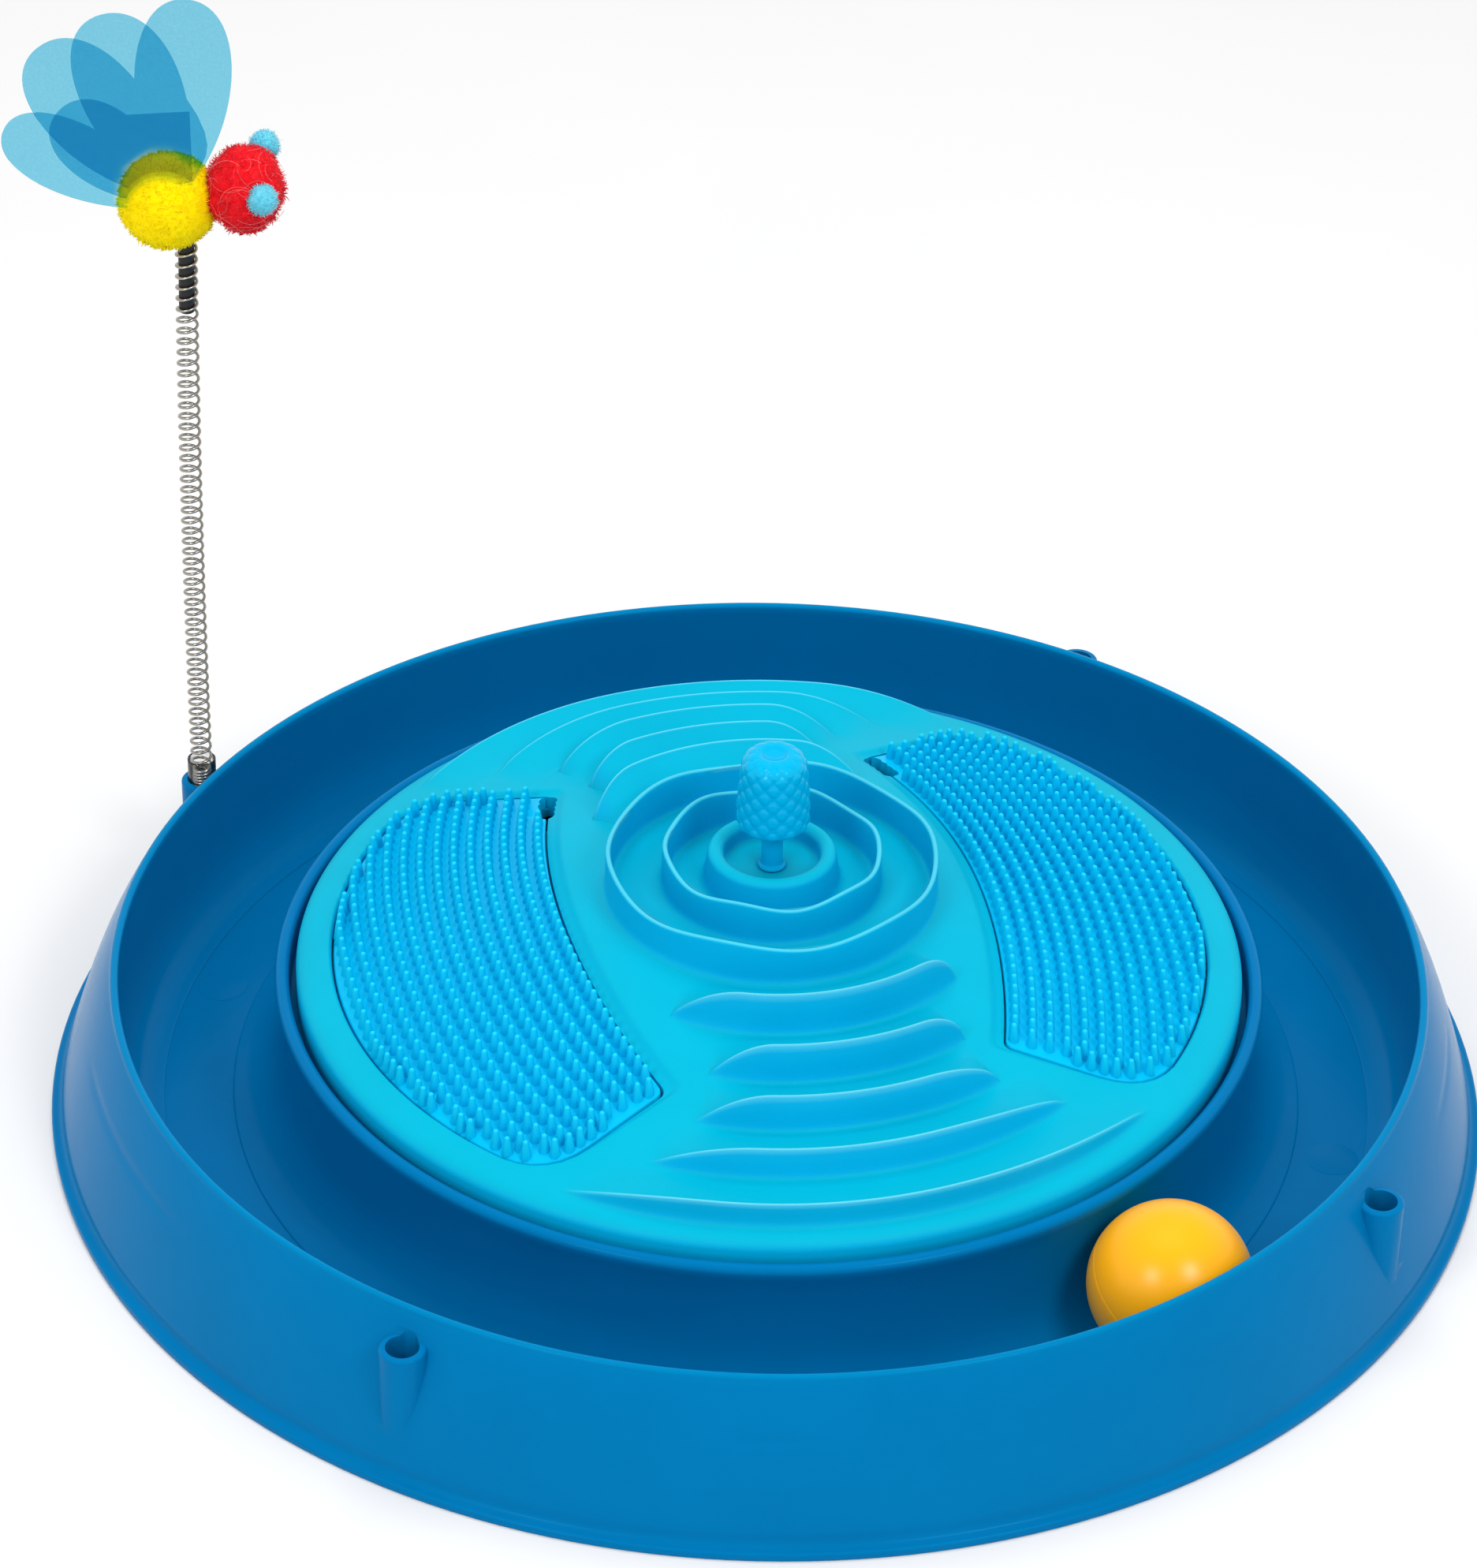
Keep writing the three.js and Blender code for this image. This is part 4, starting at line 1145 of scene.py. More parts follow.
@dataclass(frozen=True)
class PanelDome:
    """Top of the massager panel, rounded inside its outer ring and straight down to the edge."""

    radius: float = 119.5
    top: float = 63.2
    crown_radius: float = 41.0
    crown_rise: float = 2.7
    cone_rise: float = 18.9
    slab_steps: int = 144

    def height(self, radius: float) -> float:
        """Height of the dome at a radius."""
        if radius < self.crown_radius:
            return self.top - self.crown_rise * (radius / self.crown_radius) ** 2
        share = (radius - self.crown_radius) / (self.radius - self.crown_radius)
        return self.top - self.crown_rise - self.cone_rise * share

    def slab(self, low: float, high: float) -> BMesh:
        """Slice of the straight part between two depths.

        Args:
            low: Depth of its underside against the dome.
            high: Depth of its upper side.

        Returns:
            The closed slice.
        """
        inside, outside = self.crown_radius, self.radius
        line = Outline(inside, self.height(inside) + low).line(outside, self.height(outside) + low)
        line.line(outside, self.height(outside) + high).line(inside, self.height(inside) + high)
        return line.turned(self.slab_steps, closed=True)


@dataclass(frozen=True)
class PadShape:
    """Plan of a bristle pad, its middle on the first axis."""

    dome: PanelDome = PanelDome()
    outer_radius: float = 110.0
    inner_radius: float = 203.0
    inner_offset: float = 53.3
    half_length: float = 64.6
    end_angle: float = 47.0
    outer_corner: float = 13.0
    inner_corner: float = 2.5
    notch_radius: float = 2.4
    notch_insets: tuple[float, ...] = (2.0, 4.6, 7.3, 9.8)
    notch_grow: float = -0.3
    notch_low: float = 20.0
    notch_high: float = 100.0

    def notch_places(self, side: float) -> list[Vector]:
        """Middles of the pins that make up the finger notch, on one side of the inner edge."""
        alongs = [self.half_length - inset for inset in self.notch_insets]
        edge = [self.on_inner_edge(self.notch_grow, along) for along in alongs]
        return [Vector((place.x, side * place.y)) for place in edge]

    def notch(self, side: float) -> BMesh:
        """Upright slot for the finger notch, on one side of the inner edge."""
        pins = []
        for place in self.notch_places(side):
            pin = post(self.notch_radius, self.notch_low, self.notch_high, 32)
            pins.append(moved(pin, Matrix.Translation(place.to_3d())))
        slot = pins.pop()
        for pin in pins:
            slot = fitted(slot, pin, Fit.JOIN)
        return slot

    def on_inner_edge(self, grow: float, along: float) -> Vector:
        """Point of the inner edge, grown outwards, at a distance along from the middle."""
        reach = math.sqrt((self.inner_radius - grow) ** 2 - along**2)
        return Vector((self.inner_offset - self.inner_radius + reach, along))

    def corners(self, grow: float, lip: float = 0.0) -> tuple[Vector, Vector]:
        """Sharp inner and outer corner of the plan, grown all round and by a lip inside."""
        outer = self.outer_radius + grow
        end = math.radians(self.end_angle) + grow / outer
        far = Vector((outer * math.cos(end), outer * math.sin(end)))
        return self.on_inner_edge(grow + lip, self.half_length + grow), far

    def outline(self, grow: float, lip: float = 0.0) -> Outline:
        """Closed plan, grown all round and by a lip at the inner edge."""
        inner, outer = self.inner_radius - grow - lip, self.outer_radius + grow
        near, far = self.corners(grow, lip)
        edge = (far - near).normalized()
        on_edge, off_edge = far - edge * self.outer_corner, near + edge * self.inner_corner
        out = math.degrees(math.atan2(far.y, far.x) - self.outer_corner / outer)
        inn = math.degrees(math.asin(near.y / inner) - self.inner_corner / inner)
        back = self.on_inner_edge(grow + lip, inner * math.sin(math.radians(inn)))
        start = polar(outer, -out)
        line = Outline(start.x, start.y).arc(0.0, 0.0, outer, -out, out, 48)
        line.curve(far.x, far.y, on_edge.x, on_edge.y, 6)
        line.line(off_edge.x, off_edge.y, 4)
        line.curve(near.x, near.y, back.x, back.y, 5)
        line.arc(self.inner_offset - self.inner_radius, 0.0, inner, inn, -inn, 48)
        line.curve(near.x, -near.y, off_edge.x, -off_edge.y, 5)
        line.line(on_edge.x, -on_edge.y, 4)
        line.curve(far.x, -far.y, start.x, start.y, 6)
        line.points.pop()
        return line

    def column(
        self, levels: Sequence[tuple[float, float, float]], low: float = 10.0, high: float = 110.0
    ) -> BMesh:
        """Upright column on the plan, its sides stepping in and out at depths against the dome.

        Args:
            levels: Depth against the dome, growth of the plan and width of its lip, upwards.
            low: Height of the flat foot.
            high: Height of the flat top.

        Returns:
            The closed column.
        """
        bm = bmesh.new()
        loops = []
        foot, top = (None, *levels[0][1:], low), (None, *levels[-1][1:], high)
        for depth, grow, lip, flat in (foot, *((*level, 0.0) for level in levels), top):
            points = self.outline(grow, lip).points
            verts = []
            for point in points:
                height = flat if depth is None else self.dome.height(point.length) + depth
                verts.append(bm.verts.new((point.x, point.y, height)))
            loops.append([bm.edges.new(pair) for pair in zip(verts, verts[1:] + verts[:1])])
        for lower, upper in zip(loops, loops[1:]):
            bmesh.ops.bridge_loops(bm, edges=lower + upper)
        for cap in (loops[0], loops[-1]):
            bmesh.ops.contextual_create(bm, geom=cap)
        return faced(bm)


@dataclass(frozen=True)
class WavyRing:
    """Thin wall round the collar whose top edge rises and falls."""

    radius: float
    top: float
    wall: float = 1.4
    foot: float = 1.6


@dataclass(frozen=True)
class Ridge:
    """Crescent ridge: place of its crest, its arc, and the shares of it that both ends take."""

    radius: float
    top: float
    start: float
    end: float
    taper: float
    drop: float
    bluntness: float = 0.65

    def share(self, azimuth: float) -> float:
        """Share of the full height at an azimuth, for this ridge and its twin half a turn on."""
        along = (azimuth - self.start) % 180.0 / (self.end - self.start)
        if along >= 1.0:
            return 0.0
        rise = 1.0 - max(0.0, 1.0 - along / self.taper) ** 2
        fall = max(0.0, 1.0 - (1.0 - along) / self.drop)
        return rise * (1.0 - fall**2) ** self.bluntness


@dataclass
class MassagerPanel:
    """Domed panel with crescent ridges, wavy rings, collar and two bristle pockets."""

    dome: PanelDome = PanelDome()
    pad: PadShape = PadShape()
    pads: tuple[tuple[float, float], ...] = PAD_TURNS
    wall: float = 2.2
    edge_height: float = 39.0
    seat: float = 30.3
    shoulder: float = 4.0
    stem_hole: float = 3.0
    well_floor: float = 66.5
    collar_inside: float = 12.1
    collar_outside: float = 16.2
    collar_foot: float = 17.2
    collar_top: float = 72.0
    collar_fillet: float = 2.0
    collar_lean: float = 0.2
    well_round: float = 1.4
    hole_round: float = 0.4
    rings: tuple[WavyRing, ...] = (WavyRing(26.8, 72.3), WavyRing(41.0, 70.6))
    wave: float = 0.8
    lobes: int = 6
    wave_azimuth: float = -106.0
    ridges: tuple[Ridge, ...] = (
        Ridge(113.2, 48.8, -114.5, -36.0, 0.24, 0.4),
        Ridge(99.2, 54.3, -105.5, -43.5, 0.24, 0.36),
        Ridge(85.2, 59.4, -101.0, -49.0, 0.24, 0.27),
        Ridge(70.6, 63.6, -101.0, -47.5, 0.24, 0.2),
        Ridge(55.9, 67.7, -115.0, -35.5, 0.24, 0.17),
    )
    slope: tuple[tuple[float, float], ...] = (
        (-12.9, 0.0), (-11.6, 0.05), (-9.0, 0.23), (-6.0, 0.47), (-3.0, 0.72), (-1.2, 0.88),
        (-0.5, 0.955), (-0.2, 0.985), (0.0, 1.0), (0.2, 0.975), (0.4, 0.87), (0.65, 0.56),
        (0.9, 0.27), (1.2, 0.11), (1.6, 0.04), (2.2, 0.0),
    )
    pocket_gap: float = 0.5
    pocket_depth: float = 5.0
    pocket_wall: float = 2.0
    pocket_clear: float = 40.0
    lip: tuple[tuple[float, float, float], ...] = (
        (-1.3, 0.5, 0.0), (-1.22, 0.5, 0.2), (-1.15, 0.52, 1.4), (-0.85, 0.6, 2.1),
        (-0.45, 0.8, 2.5), (-0.12, 1.1, 2.8), (0.02, 1.4, 3.1),
    )
    skin: float = 0.5
    ring_pitch: float = 2.2
    ridge_pitch: float = 1.2
    crest_pitch: float = 0.22
    crest_reach: tuple[float, float] = (2.2, 2.25)
    rim_pitch: float = 1.5
    # Painted highlight on ring tops: strength, depth below the top and span.
    ring_highlight: float = 0.4
    ring_highlight_low: float = 0.4
    ring_highlight_span: float = 0.35
    # Painted highlight on ridge crests: depth above the dome, reach and width.
    crest_highlight_low: float = 0.4
    crest_highlight_reach: float = 0.9
    crest_highlight_width: float = 0.22
    under_steps: int = 20
    steps: int = 288

    def domed(self, line: Outline, radius: float, pitch: float) -> None:
        """Runs a section along the dome to a radius in steps of about one pitch."""
        start = line.points[-1].x
        count = max(1, round(abs(radius - start) / pitch))
        for i in range(1, count + 1):
            reach = start + (radius - start) * i / count
            line.line(reach, self.dome.height(reach))

    def ring_wall(self, line: Outline, ring: WavyRing) -> None:
        """Runs a section up and over one wavy ring."""
        half, foot = ring.wall / 2.0, self.dome.height(ring.radius)
        inner, outer = ring.radius - half, ring.radius + half
        self.domed(line, inner - ring.foot, self.ring_pitch)
        line.curve(inner, foot, inner, foot + ring.foot, 4)
        line.line(inner, ring.top - half, 6)
        line.arc(ring.radius, ring.top - half, half, 180.0, 0.0, 10)
        line.line(outer, foot + ring.foot, 6)
        line.curve(outer, foot, outer + ring.foot, self.dome.height(outer + ring.foot), 4)

    def section(self) -> Outline:
        """Half section from the stem hole over collar, rings, dome and edge, and back below."""
        dome, wall = self.dome, self.wall
        floor, inside, hole = self.well_floor, self.collar_inside, self.stem_hole
        collar_round = (self.collar_outside - inside) / 2.0
        shoulder = self.collar_top - collar_round
        foot, foot_height = self.collar_foot, dome.height(self.collar_foot)
        end = foot + self.collar_fillet
        line = Outline(hole, floor - wall).line(hole, floor - self.hole_round)
        line.curve(hole, floor, hole + self.hole_round, floor, 3)
        line.line(inside - self.well_round, floor, 3)
        line.curve(inside, floor, inside, floor + self.well_round, 4)
        line.line(inside, shoulder, 2)
        line.arc(inside + collar_round, shoulder, collar_round, 180.0, 0.0, 14)
        line.line(foot - self.collar_lean, foot_height + self.collar_fillet, 4)
        line.curve(foot, foot_height, end, dome.height(end), 5)
        for ring in self.rings:
            self.ring_wall(line, ring)
        for ridge in reversed(self.ridges):
            self.domed(line, ridge.radius - self.crest_reach[0], self.ridge_pitch)
            self.domed(line, ridge.radius + self.crest_reach[1], self.crest_pitch)
        self.domed(line, dome.radius - self.shoulder, self.rim_pitch)
        line.curve(dome.radius, dome.height(dome.radius), dome.radius, self.edge_height, 10)
        line.line(dome.radius, self.seat, 4)
        under, end = dome.radius - wall, self.collar_outside - wall
        line.line(under, self.seat).line(under, self.edge_height - wall)
        for i in range(1, self.under_steps + 1):
            reach = under + (end - under) * i / self.under_steps
            line.line(reach, dome.height(reach) - wall)
        return line.line(end, floor - wall)

    def crest(self, ridge: Ridge) -> float:
        """Height of a ridge's crest above the dome."""
        return ridge.top - self.dome.height(ridge.radius)

    def flank(self, offset: float) -> float:
        """Share of a ridge's height at a radial distance from its crest."""
        for (x0, y0), (x1, y1) in zip(self.slope, self.slope[1:]):
            if x0 <= offset <= x1:
                return y0 + (y1 - y0) * (offset - x0) / (x1 - x0)
        return 0.0

    def swell(self, reach: float, azimuth: float) -> float:
        """Height that the ridges add to the dome at a place."""
        return sum(
            self.crest(ridge) * ridge.share(azimuth) * flank
            for ridge in self.ridges
            if (flank := self.flank(reach - ridge.radius))
        )

    def ripple(self, azimuth: float) -> float:
        """Rise or fall of the ring tops at an azimuth."""
        return self.wave * math.cos(math.radians(self.lobes * (azimuth - self.wave_azimuth)))

    def mould(self, bm: BMesh) -> None:
        """Raises the ridges out of the dome and ripples the ring tops."""
        outside = self.rings[-1].radius + self.rings[-1].wall
        for vert in bm.verts:
            reach, azimuth = around(vert.co)
            above = vert.co.z - self.dome.height(reach)
            if reach > outside and abs(above) < self.skin:
                vert.co.z += self.swell(reach, azimuth)
            for ring in self.rings:
                if abs(reach - ring.radius) < ring.wall / 2.0 + WELD and above > self.skin:
                    tall = ring.top - self.dome.height(ring.radius)
                    vert.co.z += self.ripple(azimuth) * above / tall

    def pocketed(self, bm: BMesh, azimuth: float, side: float) -> BMesh:
        """Adds a pocket for one pad, opened from above with a lip and a notch right through.

        Args:
            bm: The panel so far.
            azimuth: Azimuth of the pad's middle.
            side: Side of the pad's middle that the notch lies on.

        Returns:
            The panel with the pocket.
        """
        turn = Matrix.Rotation(math.radians(azimuth), 4, "Z")
        tray = self.dome.slab(-self.pocket_depth - self.wall, -self.wall / 2.0)
        wide = self.pad.column([(0.0, self.pocket_gap + self.pocket_wall, 0.0)])
        bm = fitted(bm, fitted(tray, moved(wide, turn), Fit.COMMON), Fit.JOIN)
        hole = fitted(self.pad.column(self.lip), self.pad.notch(side), Fit.JOIN)
        room = self.dome.slab(-self.pocket_depth, self.pocket_clear)
        bm = fitted(bm, fitted(room, moved(hole, turn), Fit.COMMON), Fit.CUT)
        return fitted(bm, moved(self.pad.notch(side), turn), Fit.CUT)

    def painted_light_share(self, place: Vector) -> float:
        """Share of the painted highlight colour at a point: ridge crests and ring tops."""
        reach, azimuth = around(place)
        for ring in self.rings:
            if abs(reach - ring.radius) < ring.wall:
                above = place.z - ring.top - self.ripple(azimuth) + self.ring_highlight_low
                return self.ring_highlight * smooth_step(above / self.ring_highlight_span)
        above = place.z - self.dome.height(reach)
        best = 0.0
        for ridge in self.ridges:
            offset = reach - ridge.radius
            if abs(offset) < self.crest_highlight_reach and above > self.crest_highlight_low:
                crest = math.exp(-((offset / self.crest_highlight_width) ** 2))
                best = max(best, ridge.share(azimuth) * crest)
        return best

    def build(self) -> None:
        """Models and dresses the panel."""
        bm = self.section().turned(self.steps, closed=True)
        self.mould(bm)
        for azimuth, side in self.pads:
            bm = self.pocketed(bm, azimuth, side)
        tag = Tag("panel_moulding", Body.MASSAGER, Slot.PANEL, ("massager_disc",), painted_light_share=self.painted_light_share)
        finished(bm, tag, Finishes.PANEL)


@dataclass
class BristlePad:
    """Soft pad of bristles that drops into a pocket of the panel."""

    name: str
    node: str
    body: Body
    azimuth: float
    side: float
    shape: PadShape = PadShape()
    plate_low: float = -4.7
    plate_high: float = -1.0
    rise: float = 3.9
    root_radius: float = 1.55
    tip_radius: float = 0.62
    tip_round: float = 0.5
    row_pitch: float = 4.3
    pitch: float = 3.9
    margin: float = 1.3
    inner_margin: float = 2.0
    columns: int = 22
    pitch_inset: float = 20.0
    edge_pitch: float = 2.9
    edge_shares: tuple[float, ...] = (0.0, 0.25, 0.5, 0.75)
    notch_gap: float = 0.8
    root_sink: float = 0.5
    plate_edge: tuple[tuple[float, float], ...] = (
        (-0.7, 0.0), (-0.35, -0.06), (-0.12, -0.22), (0.02, -0.6),
    )
    # Depth below the tips over which the painted highlight fades in.
    tip_highlight_span: float = 0.7

    def grid(self) -> list[Vector]:
        """Feet of the bristles in rows along the inner edge and columns across them."""
        shape = self.shape
        plan = shape.outline(-self.margin).points
        centre = Vector((shape.inner_offset - shape.inner_radius, 0.0))
        turn = math.degrees(self.pitch / (shape.inner_radius + self.pitch_inset))
        found = []
        for row in range(int((shape.outer_radius - shape.inner_offset) / self.row_pitch) + 1):
            radius = shape.inner_radius + self.inner_margin + row * self.row_pitch
            for column in range(-self.columns, self.columns + 1):
                foot = centre + polar(radius, column * turn).xy
                if encloses(plan, foot):
                    found.append(foot)
        return found

    def places(self) -> list[Vector]:
        """Feet of all bristles: the grid, filled up along the edge and clear of the notch."""
        found = self.grid()
        plan = self.shape.outline(-self.margin).points
        for start, end in zip(plan, plan[1:] + plan[:1]):
            for share in self.edge_shares:
                foot = start.lerp(end, share)
                if min((foot - other).length for other in found) > self.edge_pitch:
                    found.append(foot)
        notch = self.shape.notch_places(self.side)
        gap = self.shape.notch_radius + self.notch_gap
        return [foot for foot in found if min((foot - pin).length for pin in notch) > gap]

    def bristle(self, bm: BMesh) -> list:
        """One tapered bristle with a rounded tip, its plate level at zero height.

        Args:
            bm: The mesh it is made in.

        Returns:
            Its points, edges and faces.
        """
        low, high = self.plate_high - self.root_sink, self.rise
        bmesh.ops.create_cone(
            bm, cap_ends=True, segments=8, radius1=self.root_radius, radius2=self.tip_radius,
            depth=high - low, matrix=Matrix.Translation((0.0, 0.0, (low + high) / 2.0)),
        )
        round_top(bm, high, self.tip_round, 2)
        return all_of(bm)

    def plate(self) -> BMesh:
        """Domed plate that the bristles stand on, with a rounded upper edge."""
        top = self.plate_high
        slab = self.shape.dome.slab(self.plate_low, top)
        column = self.shape.column([(top + depth, grow, 0.0) for depth, grow in self.plate_edge])
        return fitted(fitted(slab, column, Fit.COMMON), self.shape.notch(self.side), Fit.CUT)

    def tip(self, place: Vector) -> float:
        """Share of the painted highlight colour at a point, most at the bristle tips."""
        above = place.z - self.shape.dome.height(math.hypot(place.x, place.y))
        return smooth_step((above - self.rise + self.tip_highlight_span) / self.tip_highlight_span)

    def build(self) -> None:
        """Models and dresses the pad."""
        bm = bmesh.new()
        pattern = self.bristle(bm)
        feet = self.places()
        for foot in feet:
            copy = bmesh.ops.duplicate(bm, geom=pattern)["geom"]
            lift = Vector((foot.x, foot.y, self.shape.dome.height(foot.length)))
            bmesh.ops.translate(bm, vec=lift, verts=only(copy, BMVert))
        bmesh.ops.delete(bm, geom=only(pattern, BMVert), context="VERTS")
        absorb(bm, self.plate())
        moved(bm, Matrix.Rotation(math.radians(self.azimuth), 4, "Z"))
        tag = Tag(self.name, self.body, Slot.BRISTLE, (self.node,), painted_light_share=self.tip)
        finished(bm, tag, Finishes.BRISTLE)
        LOG.info("%s: %d bristles", self.name, len(feet))


@dataclass
class ChewKnob:
    """Bumpy knob with a dimple, on a sprung stem that stands in the collar's well."""

    radius: float = 9.1
    top_radius: float = 8.1
    bottom: float = 79.2
    height: float = 21.1
    bump: float = 0.32
    bumps_round: int = 12
    bump_radius: float = 1.9
    first_row: float = 80.6
    row_pitch: float = 2.25
    bump_fade: float = 1.5
    bump_sink: float = 0.4
    # Strength of the painted highlight on the bump tops.
    bump_highlight: float = 0.35
    foot: float = 2.4
    side_steps: int = 64
    side_power: float = 1.7
    crown: float = 4.2
    crown_lean: float = 10.0
    crown_end: float = 84.0
    # Painted light on the crown: strength, depth below the top and span.
    crown_light: float = 0.5
    crown_light_low: float = 9.0
    crown_light_span: float = 8.0
    dimple: float = 3.2
    dimple_round: float = 1.5
    dimple_depth: float = 1.3
    dimple_end: float = 140.0
    dimple_pull: float = 0.45
    dimple_clear: float = 0.3
    socket: float = 3.0
    socket_depth: float = 11.0
    socket_round: float = 0.4
    stem_radius: float = 2.7
    stem_low: float = 59.5
    stem_gap: float = 0.3
    barb_reach: float = 0.2
    barb_rises: tuple[float, float, float] = (2.2, 4.3, 4.5)
    well_floor: float = MassagerPanel.well_floor
    ring_reach: float = 0.9
    ring_round: float = 0.5
    ring_fillet: float = 0.8
    bend_start: float = 2.0
    steps: int = 168

    def body_section(self) -> Outline:
        """Half section from the socket's roof round the foot, side and crown to the dimple."""
        top, roof = self.bottom + self.height, self.bottom + self.socket_depth
        lean = math.radians(self.crown_lean)
        low, high = self.bottom + self.foot, top - self.crown * (1.0 - math.sin(lean))
        line = Outline(0.0, roof).line(self.socket, roof)
        line.line(self.socket, self.bottom + self.socket_round)
        line.curve(self.socket, self.bottom, self.socket + self.socket_round, self.bottom, 3)
        line.line(self.radius - self.foot, self.bottom, 4)
        line.curve(self.radius, self.bottom, self.radius, low, 8)
        for i in range(1, self.side_steps + 1):
            narrowing = (self.radius - self.top_radius) * (i / self.side_steps) ** self.side_power
            line.line(self.radius - narrowing, low + (high - low) * i / self.side_steps)
        middle = self.top_radius - self.crown * math.cos(lean)
        line.arc(middle, top - self.crown, self.crown, self.crown_lean, self.crown_end, 18)
        edge = self.dimple_round
        line.arc(middle, top - edge, edge, self.crown_end, self.dimple_end, 10)
        floor = top - self.dimple_depth
        return line.curve(self.dimple * self.dimple_pull, floor, 0.0, floor, 9)

    def run(self, place: Vector) -> float:
        """Height of a point of the side, carried on along the crown's curve."""
        lean = math.radians(self.crown_lean)
        low = self.bottom + self.height - self.crown
        if place.z < low + self.crown * math.sin(lean):
            return place.z
        middle = self.top_radius - self.crown * math.cos(lean)
        turn = math.atan2(place.z - low, math.hypot(place.x, place.y) - middle)
        return low + self.crown * (math.sin(lean) + turn - lean)

    def bump_share(self, place: Vector) -> float:
        """Share of a bump's full height at a point; every other row is set over by half."""
        pitch = math.tau / self.bumps_round
        turn = math.atan2(place.y, place.x) / pitch
        level = (self.run(place) - self.first_row) / self.row_pitch
        reach = math.hypot(place.x, place.y)
        best = 0.0
        for row in (math.floor(level), math.floor(level) + 1):
            aside = turn - row % 2 / 2.0
            across, rise = (aside - round(aside)) * pitch * reach, (level - row) * self.row_pitch
            best = max(best, 1.0 - (across**2 + rise**2) / self.bump_radius**2)
        return smooth_step(best)

    def studded(self, bm: BMesh) -> None:
        """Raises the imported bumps, fading out towards the foot and the dimple."""
        bm.normal_update()
        lifts = []
        for vert in bm.verts:
            above = vert.co.z - self.bottom
            outside = around(vert.co)[0] - self.dimple - self.dimple_clear
            fade = smooth_step(above / self.bump_fade) * smooth_step(outside / self.bump_fade)
            lifts.append(self.bump * fade * (self.bump_share(vert.co) - self.bump_sink))
        for vert, lift in zip(bm.verts, lifts):
            vert.co += vert.normal * lift

    def painted_knob_light(self, place: Vector) -> float:
        """Share of painted light at a point: highlights on the bump tops and a lighter crown."""
        above = place.z - self.bottom - self.height + self.crown_light_low
        crown = smooth_step(above / self.crown_light_span)
        return max(self.crown_light * crown, self.bump_highlight * self.bump_share(place))

    def stem_section(self) -> Outline:
        """Half section of the stem from its barb to the knob's socket."""
        reach, ring = self.stem_radius, self.stem_radius + self.ring_reach
        floor = self.well_floor + self.stem_gap
        top = self.bottom + self.socket_depth - self.stem_gap
        rise, edge = floor + self.ring_reach, self.ring_round
        low, high, end = (self.stem_low + share for share in self.barb_rises)
        barb = ring + self.barb_reach
        line = Outline(0.0, self.stem_low).line(reach, self.stem_low, 2)
        line.curve(barb, low, barb, high, 5).line(reach, end).line(reach, floor)
        line.line(ring - self.stem_gap, floor).curve(ring, floor, ring, floor + 0.4, 3)
        line.line(ring, rise - edge).curve(ring, rise, ring - edge, rise, 4)
        line.curve(reach, rise, reach, rise + self.ring_fillet, 4)
        return line.line(reach, top, 24).line(0.0, top)

    def build(self) -> None:
        """Models and dresses the knob and its stem."""
        bm = self.body_section().turned(self.steps)
        self.studded(bm)
        tag = Tag("knob_body", Body.KNOB, Slot.KNOB, ("chew_knob",), painted_light_share=self.painted_knob_light, sharp=60.0)
        finished(bm, tag, Finishes.KNOB)
        bend = Bend(Body.KNOB, UP * (self.well_floor + self.bend_start), UP * self.bottom)
        stem = Tag("stem_post", Body.MASSAGER, Slot.KNOB, ("knob_stem",), bend=bend)
        finished(self.stem_section().turned(32), stem, Finishes.KNOB)


